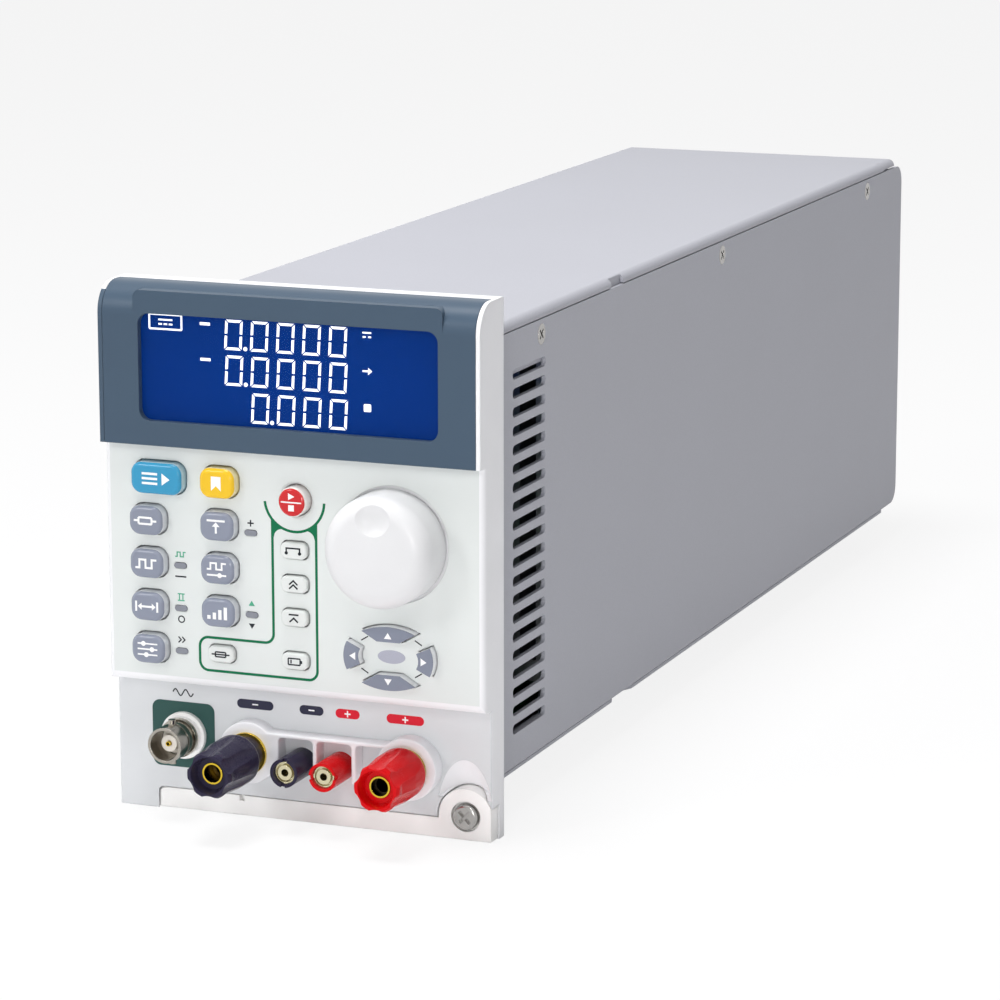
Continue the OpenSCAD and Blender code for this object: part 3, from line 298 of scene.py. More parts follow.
@dataclass(frozen=True)
class Moulded(Finish):
    """Moulded plastic: fine grain, slow drift of tone, rolled edges."""

    roughness: float = 0.42
    grain_mm: float = 0.35
    grain_depth_mm: float = 0.004
    grain_swing: float = 0.1
    drift: float = 0.03
    drift_mm: float = 22.0
    handled_mm: float = 9.0
    handled_swing: float = 0.12
    edge_mm: float = 0.3
    coat: float = 0.0
    coat_roughness: float = 0.08
    shine: float = 0.4

    def tone(self, shader: Shader, point: Wire) -> Wire:
        """Base colour, drifting slowly over the moulding."""
        slow = shader.noise(point, self.drift_mm)
        return self.blend(shader, slow, (1 - self.drift, 1 + self.drift))

    def build(self, shader: Shader) -> Material:
        """Fills the shader."""
        point = shader.place()
        grain = shader.noise(point, self.grain_mm, 3.0)
        handled = shader.noise(point, self.handled_mm, 4.0)
        rough = self.roughness + grain.swing(self.grain_swing) + handled.swing(self.handled_swing)
        normal = shader.bump(grain, self.grain_depth_mm, shader.edge_normal(self.edge_mm))
        return shader.surface({"Base Color": self.tone(shader, point), "Roughness": shader.clamp(rough),
                               "Normal": normal, "Coat Weight": self.coat,
                               "Coat Roughness": self.coat_roughness, "Specular IOR Level": self.shine})


@dataclass(frozen=True)
class PrintedKey(Moulded):
    """A key with a coloured face near its top and a paler colour on its sides below."""

    rim: Rgb = (206, 209, 214)
    face_depth: float = 16.9
    face_drop: float = 0.75
    wobble_mm: Point = (1.5, 0.08)

    def tone(self, shader: Shader, point: Wire) -> Wire:
        """The face's colour near the top of the key, a paler colour below it."""
        _, y, _ = shader.axes(point)
        grain, depth = self.wobble_mm
        wobble = shader.noise(point, grain).swing(depth * MM)
        face = (Panel.rear_y() - y + wobble) > (self.face_depth - self.face_drop) * MM
        return shader.mix(face, linear(self.rim), super().tone(shader, point))


@dataclass(frozen=True)
class PanelShell(Moulded):
    """The front moulding: white, slate where the bezel wraps round, greyer on the keypad face, and darker on
    the terminal face as painted shade under the keypad's overhang.
    """

    keypad: Rgb = (222, 226, 224)
    # Colour of the painted shade on the terminal face below the keypad
    terminal_shade: Rgb = (214, 216, 218)
    wrap: Rgb = (68, 86, 104)
    inner_x: float = 52.6
    wrap_depth: float = 13.6
    sill_z: float = 38.3
    keypad_gap: float = 0.25
    terminal_gap: float = 0.3

    def tone(self, shader: Shader, point: Wire) -> Wire:
        """White, with the keypad face tinted and painted shade on the terminal face."""
        x, y, z = shader.axes(point)
        depth = Panel.rear_y() - y
        keypad = ((depth > (Face.KEYPAD.depth - self.keypad_gap) * MM) * (z < Panel.DISPLAY_Z * MM)
                  * (x > -self.inner_x * MM) * (x < self.inner_x * MM) * (z > self.sill_z * MM))
        # Painted shade: the terminal face is darkened as if shaded by the keypad's overhang
        lower = (depth > (Face.TERMINAL.depth - self.terminal_gap) * MM) * (z < Panel.KEYPAD_Z * MM)
        wrap = (x < -self.inner_x * MM) * (z > Panel.DISPLAY_Z * MM) * (depth > self.wrap_depth * MM)
        white = shader.mix(wrap, super().tone(shader, point), linear(self.wrap))
        upper = shader.mix(keypad, white, linear(self.keypad))
        return shader.mix(lower, upper, linear(self.terminal_shade))


@dataclass(frozen=True)
class PowderCoat(Finish):
    """Sheet metal under a powder coat: orange peel, fine speckle, faint handling marks."""

    roughness: float = 0.48
    peel_mm: float = 0.9
    peel_depth_mm: float = 0.012
    speckle: float = 0.05
    fleck_mm: float = 0.28
    fleck_share: float = 0.9
    cloud_mm: float = 70.0
    cloud_share: float = 0.5
    rough_swing: Point = (0.12, 0.1)
    edge_mm: float = 0.25
    shine: float = 0.25

    def build(self, shader: Shader) -> Material:
        """Fills the shader."""
        point = shader.place()
        peel = shader.noise(point, self.peel_mm)
        fleck = shader.noise(point, self.fleck_mm, 1.0)
        slow = shader.noise(point, self.cloud_mm, 3.0)
        tone = shader.clamp(0.5 + fleck.swing(self.fleck_share) + slow.swing(self.cloud_share))
        colour = self.blend(shader, tone, (1 - self.speckle, 1 + self.speckle))
        rough = self.roughness + slow.swing(self.rough_swing[0]) + fleck.swing(self.rough_swing[1])
        normal = shader.bump(peel, self.peel_depth_mm, shader.edge_normal(self.edge_mm))
        return shader.surface({"Base Color": colour, "Roughness": shader.clamp(rough), "Normal": normal,
                               "Specular IOR Level": self.shine})


@dataclass(frozen=True)
class Plated(Finish):
    """Plated or bare metal with fine turning marks."""

    roughness: float = 0.2
    mark_mm: float = 1.0
    mark_depth_mm: float = 0.002
    mark_stretch: float = 7.0
    mark_swing: float = 0.14
    worn_mm: Point = (3.0, 2.0)
    worn_swing: float = 0.12
    tones: Point = (0.9, 1.06)
    edge_mm: float = 0.15

    def tone(self, shader: Shader, point: Wire) -> Wire:
        """The plating's colour, a little worn."""
        worn = shader.noise(point, self.worn_mm[0], 4.0)
        return self.blend(shader, worn, self.tones)

    def build(self, shader: Shader) -> Material:
        """Fills the shader."""
        point = shader.place()
        turned = shader.noise(shader.mapped(point, Scale=(1.0, self.mark_stretch, 1.0)), self.mark_mm, 3.0)
        worn = shader.noise(point, self.worn_mm[1], 3.0)
        rough = self.roughness + turned.swing(self.mark_swing) + worn.swing(self.worn_swing)
        normal = shader.bump(turned, self.mark_depth_mm, shader.edge_normal(self.edge_mm))
        return shader.surface({"Base Color": self.tone(shader, point), "Metallic": 1.0,
                               "Roughness": shader.clamp(rough), "Normal": normal})


@dataclass(frozen=True)
class PlatedRing(Plated):
    """A plated ring round a bore, with painted shade inside the bore."""

    node: str = ""
    bore_mm: float = 2.42
    # Colour of the painted shade inside the bore
    inside: Rgb = (34, 30, 40)

    def tone(self, shader: Shader, point: Wire) -> Wire:
        """The plating, with painted shade within the bore."""
        low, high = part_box(self.node)
        x, _, z = shader.axes(shader.place((low + high) / 2))
        # Painted shade: points within the bore take the dark colour
        bore = (x * x + z * z) < (self.bore_mm * MM) ** 2
        return shader.mix(bore, super().tone(shader, point), linear(self.inside))


@dataclass(frozen=True)
class Extruded(Finish):
    """Extruded aluminium with draw lines along its length."""

    roughness: float = 0.4
    line_mm: float = 0.5
    line_depth_mm: float = 0.01
    line_swing: float = 0.25
    draw: Triple = (1.0, 0.01, 1.0)
    tones: Point = (0.92, 1.05)

    def build(self, shader: Shader) -> Material:
        """Fills the shader."""
        point = shader.place()
        lines = shader.noise(shader.mapped(point, Scale=self.draw), self.line_mm, 3.0)
        colour = self.blend(shader, lines, self.tones)
        rough = self.roughness + lines.swing(self.line_swing)
        return shader.surface({"Base Color": colour, "Metallic": 1.0, "Roughness": shader.clamp(rough),
                               "Normal": shader.bump(lines, self.line_depth_mm)})


@dataclass(frozen=True)
class Circuit(Finish):
    """Solder mask over copper tracks."""

    track: Rgb = (58, 128, 84)
    track_scale: float = 220.0
    track_width: float = 0.09
    track_depth_mm: float = 0.03
    stretch: Triple = (1.0, 0.6, 1.0)
    roughness: Point = (0.35, 0.1)

    def build(self, shader: Shader) -> Material:
        """Fills the shader."""
        point = shader.place()
        cells = shader.out(shader.node("ShaderNodeTexVoronoi", {"feature": "DISTANCE_TO_EDGE"},
                                       {"Vector": shader.mapped(point, Scale=self.stretch),
                                        "Scale": self.track_scale}))
        copper = cells < self.track_width
        colour = shader.mix(copper, linear(self.colour), linear(self.track))
        return shader.surface({"Base Color": colour,
                               "Roughness": self.roughness[0] + copper * self.roughness[1],
                               "Normal": shader.bump(copper, self.track_depth_mm)})


@dataclass(frozen=True)
class Backlight(Finish):
    """A backlit display: an even blue field, a little brighter in the middle, with a fine cell grid."""

    glow: float = 0.5
    edge_share: float = 0.5
    cell_scale: float = 2500.0
    cell_share: float = 0.08
    tones: Point = (1.04, 0.92)
    roughness: float = 0.35
    shine: float = 0.05

    def build(self, shader: Shader) -> Material:
        """Fills the shader."""
        low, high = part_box("lcd_module")
        point = shader.place((low + high) / 2)
        x, _, z = shader.axes(point)
        half_w, half_h = (high.x - low.x) / 2, (high.z - low.z) / 2
        edge = shader.clamp((x * x) * (1 / half_w ** 2) * self.edge_share
                            + (z * z) * (1 / half_h ** 2) * self.edge_share)
        checker = shader.node("ShaderNodeTexChecker", None, {"Vector": point, "Scale": self.cell_scale})
        shade = shader.clamp(edge + shader.out(checker, 1) * self.cell_share)
        field_tone = self.blend(shader, shade, self.tones)
        return shader.surface({"Base Color": field_tone, "Emission Color": field_tone,
                               "Emission Strength": self.glow, "Roughness": self.roughness,
                               "Specular IOR Level": self.shine})


@dataclass(frozen=True)
class Pane(Finish):
    """Clear window sheet with a faint tint and a trace of dust."""

    body: float = 0.02
    dust_mm: float = 0.8
    dust_share: float = 0.03
    roughness: Point = (0.06, 0.05)
    shine: float = 0.06

    def build(self, shader: Shader) -> Material:
        """Fills the shader."""
        point = shader.place()
        dust = shader.noise(point, self.dust_mm, 4.0)
        return shader.surface({"Base Color": linear(self.colour),
                               "Roughness": self.roughness[0] + dust * self.roughness[1],
                               "Alpha": self.body + dust * self.dust_share, "Specular IOR Level": self.shine})


@dataclass(frozen=True)
class Ink(Finish):
    """Screen-printed ink: slightly matt, with the mesh of the screen in it."""

    roughness: float = 0.45
    glow: float = 0.0
    shine: float = 0.12
    mesh_mm: float = 0.16
    mesh_depth_mm: float = 0.002
    mesh_swing: float = 0.15
    tones: Point = (0.94, 1.05)

    def build(self, shader: Shader) -> Material:
        """Fills the shader."""
        point = shader.place()
        screen = shader.noise(point, self.mesh_mm)
        colour = self.blend(shader, screen, self.tones)
        rough = self.roughness + screen.swing(self.mesh_swing)
        return shader.surface({"Base Color": colour, "Roughness": rough, "Emission Color": colour,
                               "Normal": shader.bump(screen, self.mesh_depth_mm),
                               "Emission Strength": self.glow, "Specular IOR Level": self.shine})


GLOSS = {"roughness": 0.16, "grain_depth_mm": 0.0006, "coat": 0.4, "shine": 0.3}
POST_GLOSS = {"roughness": 0.26, "grain_depth_mm": 0.0004, "coat": 0.14, "shine": 0.06}

WHITE_SHELL = PanelShell("white_shell", (240, 240, 242), roughness=0.42, edge_mm=0.45, shine=0.3)
# A lighter white than the shell's, as painted light lifting the lever out of the posts' shadow; the socket
# flange shares it
WHITE_PART = Moulded("white_part", (249, 248, 246), roughness=0.4, drift=0.02, edge_mm=0.4, shine=0.3)
# A darker white than the shell's, as painted shade that keeps the knob's brightly lit front from burning out
WHITE_KNOB = Moulded("white_knob", (224, 224, 225), roughness=0.36, edge_mm=0.4, coat=0.1, shine=0.3)
WHITE_KEY = Moulded("white_key", (224, 227, 225), roughness=0.36, edge_mm=0.2, shine=0.3)
MILKY = Moulded("milky_shroud", (240, 240, 243), roughness=0.34, edge_mm=0.5, coat=0.1, shine=0.3)
SLATE = Moulded("slate_bezel", (68, 86, 104), roughness=0.38, edge_mm=0.3, drift=0.02, shine=0.25)
DARK = Moulded("dark_moulding", (38, 39, 43), roughness=0.5)
KEY_GREY = PrintedKey("grey_key", (134, 140, 156), edge_mm=0.25, **GLOSS)
KEY_BLUE = PrintedKey("blue_key", (44, 148, 190), edge_mm=0.25, rim=(166, 196, 208), **GLOSS)
KEY_YELLOW = PrintedKey("yellow_key", (238, 192, 16), edge_mm=0.25, rim=(238, 222, 168), **GLOSS)
KEY_RED = PrintedKey("red_key", (200, 20, 26), edge_mm=0.25, rim=(234, 228, 224), face_drop=0.4, **GLOSS)
KEY_ARROW = PrintedKey("arrow_key", (128, 134, 150), edge_mm=0.1, rim=(230, 232, 234), face_depth=16.2,
                       face_drop=0.28, **GLOSS)
LENS = Moulded("smoked_lens", (132, 135, 144), roughness=0.25, grain_depth_mm=0.001, edge_mm=0.15)
POST_NAVY = Moulded("navy_post", (46, 42, 62), edge_mm=0.35, **POST_GLOSS)
POST_RED = Moulded("red_post", (204, 6, 14), edge_mm=0.35, **POST_GLOSS)
STEEL = Plated("bright_steel", (168, 166, 163), roughness=0.22)
NICKEL = Plated("nickel_plate", (172, 167, 158), roughness=0.16)
CONTACT = Plated("contact_plate", (212, 205, 172), roughness=0.22)
GOLD = Plated("gold_plate", (216, 186, 66), roughness=0.22)
# Brass studs deep in the post bores, darkened as painted shade of the bore
SHADED_STUD = Plated("stud_brass_painted_shade", (74, 64, 46), roughness=0.4)
NEG_RING = PlatedRing("neg_ring", (222, 190, 62), roughness=0.2, node="neg_insert")
POS_RING = PlatedRing("pos_ring", (222, 190, 62), roughness=0.2, node="pos_insert")
PTFE = Moulded("socket_core", (236, 230, 220), roughness=0.5)
CASE = PowderCoat("case_coat", (177, 178, 186))
FINS = Extruded("heatsink_metal", (206, 208, 210))
BOARD = Circuit("board_mask", (22, 92, 58))
LCD = Backlight("display_blue", (3, 40, 106))
WINDOW = Pane("window_sheet", (20, 60, 130))

INK_WHITE = Ink("ink_white", (250, 250, 250))
INK_DARK = Ink("ink_dark", (44, 47, 52))
INK_LINE = Ink("ink_line", (24, 112, 74))
INK_LEAF = Ink("ink_leaf", (84, 168, 136))
INK_PINE = Ink("ink_pine", (56, 88, 84))
INK_NAVY = Ink("ink_navy", (54, 54, 72))
INK_RED = Ink("ink_red", (214, 38, 54))
INK_OVAL = Ink("ink_oval", (176, 177, 190), roughness=0.35)
LIT = Ink("lit_segment", (246, 249, 255), glow=0.9)


# Panel geometry


class Face(Enum):
    """The faces of the front that pieces are printed or set on, by distance from the frame's rear plane."""

    KEYPAD = 13.7
    TERMINAL = 8.8
    LCD = 14.2
    KEY_TOP = 16.9
    SMALL_KEY_TOP = 15.2
    ARROW_TOP = 16.2

    @property
    def depth(self) -> float:
        """Distance from the rear plane in millimetres."""
        return self.value


class Panel:
    """Places on the front."""

    DISPLAY_Z = 101.0
    KEYPAD_Z = 36.0

    @staticmethod
    def rear_y() -> float:
        """The front frame's rear plane in the row frame, in metres."""
        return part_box("front_frame")[1].y

    @staticmethod
    def matrix(face: Face, x: float = 0.0, z: float = 0.0, lift: float = 0.0) -> Matrix:
        """Takes millimetres on a face to the row frame.

        Args:
            face: The face that the shape lies on.
            x: Place across the panel.
            z: Height on the panel.
            lift: Height of the shape's base above the face.

        Returns:
            A matrix from local x right, y up, z outwards, in millimetres.
        """
        origin = Vector((x * MM, Panel.rear_y() - (face.depth + lift) * MM, z * MM))
        turn = Matrix(((1, 0, 0, 0), (0, 0, -1, 0), (0, 1, 0, 0), (0, 0, 0, 1)))
        return Matrix.Translation(origin) @ turn @ Matrix.Scale(MM, 4)

    @staticmethod
    def behind(y: float) -> Matrix:
        """Takes millimetres on a plane at y, seen from behind the object, to the row frame."""
        turn = Matrix(((-1, 0, 0, 0), (0, 0, 1, 0), (0, 1, 0, 0), (0, 0, 0, 1)))
        return Matrix.Translation((0, y, 0)) @ turn @ Matrix.Scale(MM, 4)


def rounded(points: Sequence[Point], radius: float) -> List[Point]:
    """An open path with its inner corners turned into arcs.

    Args:
        points: Corners of the path.
        radius: Radius of each arc.

    Returns:
        The points of the path.
    """
    path = [points[0]]
    for a, b, c in zip(points, points[1:], points[2:]):
        here = Vector(b)
        back, on = (Vector(a) - here).normalized(), (Vector(c) - here).normalized()
        half = back.angle(on) / 2
        reach = radius / math.tan(half)
        centre = here + (back + on).normalized() * (radius / math.sin(half))
        start, end = here + back * reach - centre, here + on * reach - centre
        sweep = start.angle_signed(end)
        for i in range(CORNER_STEPS + 1):
            path.append(tuple(centre + Matrix.Rotation(-sweep * i / CORNER_STEPS, 2) @ start))
    return path + [points[-1]]


class Sketch:
    """Flat shapes in millimetres, raised into thin solids on a face."""

    def __init__(self) -> None:
        """Starts an empty mesh."""
        self.mesh = bmesh.new()
        self.shapes = 0

    def layer(self) -> float:
        """A slightly different height for each shape, so that crossing shapes share no plane."""
        self.shapes += 1
        return LAYER_STEP * (self.shapes % LAYERS)

    def ribbon(self, points: Sequence[Point], width: float) -> "Sketch":
        """A line of even width, made by extruding its first edge along the path.

        Args:
            points: The path.
            width: Width of the line.

        Returns:
            The sketch.
        """
        path = [Vector(p) for p in points]
        sides = []
        for i, here in enumerate(path):
            into = (here - path[i - 1]).normalized() if i else None
            out = (path[i + 1] - here).normalized() if i + 1 < len(path) else None
            along = ((into or out) + (out or into)).normalized()
            across = Vector((-along.y, along.x))
            lean = across.dot(Vector((-(into or out).y, (into or out).x)))
            sides.append((here + across * width / 2 / lean, here - across * width / 2 / lean))
        return self.strip(sides)

    def strip(self, sides: Sequence[Tuple[Sequence[float], Sequence[float]]]) -> "Sketch":
        """A strip between two lines.

        Args:
            sides: Pairs of points across the strip, in order along it.

        Returns:
            The sketch.
        """
        layer = self.layer()
        left, right = (self.mesh.verts.new((*p, layer)) for p in sides[0])
        edge = self.mesh.edges.new((left, right))
        for to_left, to_right in sides[1:]:
            made = bmesh.ops.extrude_edge_only(self.mesh, edges=[edge])["geom"]
            edge = next(g for g in made if isinstance(g, bmesh.types.BMEdge))
            new_left, new_right = sorted(edge.verts, key=lambda v: (v.co - left.co).length)
            new_left.co, new_right.co = (*to_left, layer), (*to_right, layer)
            left, right = new_left, new_right
        return self

    def arc(self, centre: Point, radius: float, width: float, start: float = 0.0,
            sweep: float = 360.0) -> "Sketch":
        """A ring or part of one, spun from its first edge.

        Args:
            centre: Centre of the ring.
            radius: Radius of its middle line.
            width: Width of the line.
            start: Angle of its first edge from the x axis, in degrees.
            sweep: Angle that it covers, in degrees.

        Returns:
            The sketch.
        """
        direction = Vector((math.cos(math.radians(start)), math.sin(math.radians(start)), 0))
        middle = Vector((*centre, self.layer()))
        ends = [self.mesh.verts.new(middle + direction * (radius + side * width / 2)) for side in (-1, 1)]
        edge = self.mesh.edges.new(ends)
        bmesh.ops.spin(self.mesh, geom=ends + [edge], cent=middle, axis=(0, 0, 1), angle=math.radians(sweep),
                       steps=max(CORNER_STEPS, round(abs(sweep) / ARC_STEP_DEG)), use_merge=abs(sweep) >= 360)
        return self

    def disc(self, centre: Point, radius: float, height: float = 1.0) -> "Sketch":
        """A filled circle or ellipse.

        Args:
            centre: Its centre.
            radius: Half its width.
            height: Ratio of its height to its width.

        Returns:
            The sketch.
        """
        made = bmesh.ops.create_circle(self.mesh, cap_ends=True, segments=CIRCLE_SIDES,
                                       radius=radius)["verts"]
        bmesh.ops.scale(self.mesh, vec=(1, height, 1), verts=made)
        bmesh.ops.translate(self.mesh, vec=(*centre, self.layer()), verts=made)
        return self

    def plate(self, centre: Point, size: Point, radius: float) -> "Sketch":
        """A rectangle with round corners.

        Args:
            centre: Its centre.
            size: Its width and height.
            radius: Radius of its corners.

        Returns:
            The sketch.
        """
        made = bmesh.ops.create_grid(self.mesh, x_segments=1, y_segments=1, size=0.5)["verts"]
        bmesh.ops.scale(self.mesh, vec=(*size, 1), verts=made)
        bmesh.ops.translate(self.mesh, vec=(*centre, self.layer()), verts=made)
        bmesh.ops.bevel(self.mesh, geom=made, offset=radius, offset_type="OFFSET", affect="VERTICES",
                        segments=CORNER_STEPS, profile=0.5, material=-1)
        return self

    def polygon(self, points: Sequence[Point]) -> "Sketch":
        """A filled outline with few corners."""
        layer = self.layer()
        self.mesh.faces.new([self.mesh.verts.new((*p, layer)) for p in points])
        return self

    def piece(self, name: str, place: Matrix, height: float, finish: Finish,
              body: str = "chassis") -> bpy.types.Object:
        """Raises the shapes and sets them in place.

        Args:
            name: Name of the piece.
            place: Matrix from the sketch to the row frame.
            height: Thickness of the print.
            finish: Its finish.
            body: The body that it rides on.

        Returns:
            The finished object.
        """
        raised = bmesh.ops.extrude_face_region(self.mesh, geom=self.mesh.faces[:], use_keep_orig=True)["geom"]
        bmesh.ops.translate(self.mesh, vec=(0, 0, height),
                            verts=[g for g in raised if isinstance(g, bmesh.types.BMVert)])
        bmesh.ops.transform(self.mesh, matrix=place, verts=self.mesh.verts[:])
        return dress_mesh(self.mesh, name, finish, body)


def linked(name: str, data: bpy.types.ID) -> bpy.types.Object:
    """A new object around its data, in the scene."""
    made = bpy.data.objects.new(name, data)
    bpy.context.scene.collection.objects.link(made)
    return made


def mesh_data(mesh: bmesh.types.BMesh, name: str) -> bpy.types.Mesh:
    """Mesh data with the shape of a bmesh, which is freed."""
    data = bpy.data.meshes.new(name)
    mesh.to_mesh(data)
    mesh.free()
    return data


def dress_mesh(mesh: bmesh.types.BMesh, name: str, finish: Finish, body: str,
               smooth_deg: float = SMOOTH_DEG) -> bpy.types.Object:
    """Turns a bmesh into a piece of the object.

    Args:
        mesh: The mesh in the row frame, in metres; it is freed.
        name: Name of the piece.
        finish: Its finish.
        body: The body that it rides on.
        smooth_deg: Edges flatter than this are shaded smooth.

    Returns:
        The new object.
    """
    bmesh.ops.recalc_face_normals(mesh, faces=mesh.faces[:])
    data = mesh_data(mesh, name)
    data.shade_smooth()
    data.set_sharp_from_angle(angle=math.radians(smooth_deg))
    data.materials.append(finish.material())
    piece = linked(name, data)
    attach(piece, body)
    LOG.info("piece %s on %s", name, body)
    return piece


# Marks made of lines, dots and filled shapes


@dataclass(frozen=True)
class Mark:
    """A plain pictogram: lines, dots and filled shapes about its own centre."""

    lines: Tuple[Line, ...] = ()
    width: float = 0.55
    dots: Tuple[Triple, ...] = ()
    fills: Tuple[Line, ...] = ()

    def draw(self, sketch: Sketch, x: float = 0.0, y: float = 0.0) -> None:
        """Adds the mark to a sketch, about x and y."""
        for line in self.lines:
            sketch.ribbon([(x + px, y + py) for px, py in line], self.width)
        for px, py, radius in self.dots:
            sketch.disc((x + px, y + py), radius)
        for fill in self.fills:
            sketch.polygon([(x + px, y + py) for px, py in fill])


def bar(left: float, right: float, y: float = 0.0) -> Line:
    """A level line."""
    return (left, y), (right, y)


def stem(x: float, low: float, high: float) -> Line:
    """An upright line."""
    return (x, low), (x, high)


def frame_line(w: float, h: float) -> Tuple[Line, ...]:
    """The four sides of a box of width w and height h, as lines."""
    a, b = w / 2, h / 2
    return bar(-a, a, -b), bar(-a, a, b), stem(-a, -b, b), stem(a, -b, b)


# Display


DIRECT_CURRENT = Mark(lines=(bar(-2.0, 2.0, 0.55), bar(-2.0, -1.0, -0.6), bar(-0.5, 0.5, -0.6),
                             bar(1.0, 2.0, -0.6)), width=0.42)
ROW_SIGNS = (
    Mark(lines=(bar(-1.2, 1.2, 0.6), bar(-1.15, -0.35, -0.5), bar(0.35, 1.15, -0.5)), width=0.42),
    Mark(lines=(bar(-1.3, 0.6),), width=0.45, fills=(((0.3, -0.9), (1.4, 0.0), (0.3, 0.9)),)),
)


@dataclass
class Readout:
    """Lit segments of the display: three rows of figures, a boxed mark and a sign beside each row."""

    digit: Point = (4.95, 7.95)
    pitch: float = 7.38
    stroke: float = 0.68
    joint: float = 0.24
    slant: float = 0.1
    lean: float = 0.06
    first_x: float = -18.4
    row_tops: Triple = (135.5, 126.1, 116.5)
    first_digit: Tuple[int, int, int] = (0, 0, 1)
    digits: int = 5
    box: Quad = (-39.9, 131.9, -30.6, 135.75)
    box_line: float = 0.45
    point: Triple = (1.35, 0.5, 0.55)
    minus: Quad = (-25.3, -22.4, 1.5, 0.75)
    sign_x: float = 22.0
    sign_drop: float = 1.7
    square: Point = (2.0, 2.0)
    square_r: float = 0.3
    lift: float = 0.02
    thickness: float = 0.12
    sketch: Sketch = field(default_factory=Sketch)

    def leaned(self, x: float, top: float, points: Sequence[Point]) -> List[Point]:
        """Moves a segment to its digit, leaning it to the right."""
        return [(x + px + self.lean * py, top - self.digit[1] + py) for px, py in points]

    def zero(self, x: float, top: float) -> None:
        """The six outer segments of a figure nought.

        Args:
            x: Its left edge at the foot.
            top: Its upper edge.
        """
        w, h = self.digit
        t, g = self.stroke, self.joint
        level = [(g, h), (w - g, h), (w - g - t, h - t), (g + t, h - t)]
        upright = [(0, h - g), (t, h - t - g), (t, h / 2 + g + self.slant), (0, h / 2 + g)]
        for flip_x in (False, True):
            for flip_y in (False, True):
                self.sketch.polygon(self.leaned(x, top, self.flipped(upright, flip_x, flip_y)))
        for flip_y in (False, True):
            self.sketch.polygon(self.leaned(x, top, self.flipped(level, False, flip_y)))

    def flipped(self, points: Sequence[Point], flip_x: bool, flip_y: bool) -> List[Point]:
        """A segment mirrored within its digit."""
        w, h = self.digit
        return [(w - x if flip_x else x, h - y if flip_y else y) for x, y in points]

    def build(self) -> None:
        """Draws the rows and sets them on the display."""
        draw = self.sketch
        for row, (top, first) in enumerate(zip(self.row_tops, self.first_digit)):
            for i in range(first, self.digits):
                self.zero(self.first_x + i * self.pitch, top)
            back, up, radius = self.point
            draw.disc((self.first_x + (first + 1) * self.pitch - back, top - self.digit[1] + up), radius)
            if first == 0:
                start, end, drop, width = self.minus
                draw.ribbon(bar(start, end, top - drop), width)
            place = (self.sign_x, top - self.sign_drop)
            if row < len(ROW_SIGNS):
                ROW_SIGNS[row].draw(draw, *place)
            else:
                draw.plate(place, self.square, self.square_r)
        x0, z0, x1, z1 = self.box
        for side in (bar(x0, x1, z0), bar(x0, x1, z1), stem(x0, z0, z1), stem(x1, z0, z1)):
            draw.ribbon(side, self.box_line)
        DIRECT_CURRENT.draw(draw, (x0 + x1) / 2, (z0 + z1) / 2)
        draw.piece("readout", Panel.matrix(Face.LCD, lift=self.lift), self.thickness, LIT)


# Printed marks


PULSE = ((-3.1, -1.1), (-1.9, -1.1), (-1.9, 1.1), (-0.1, 1.1),
         (-0.1, -1.1), (1.7, -1.1), (1.7, 1.1), (3.1, 1.1))
SMALL_PULSE = tuple((x * 0.5, y * 0.55) for x, y in PULSE)

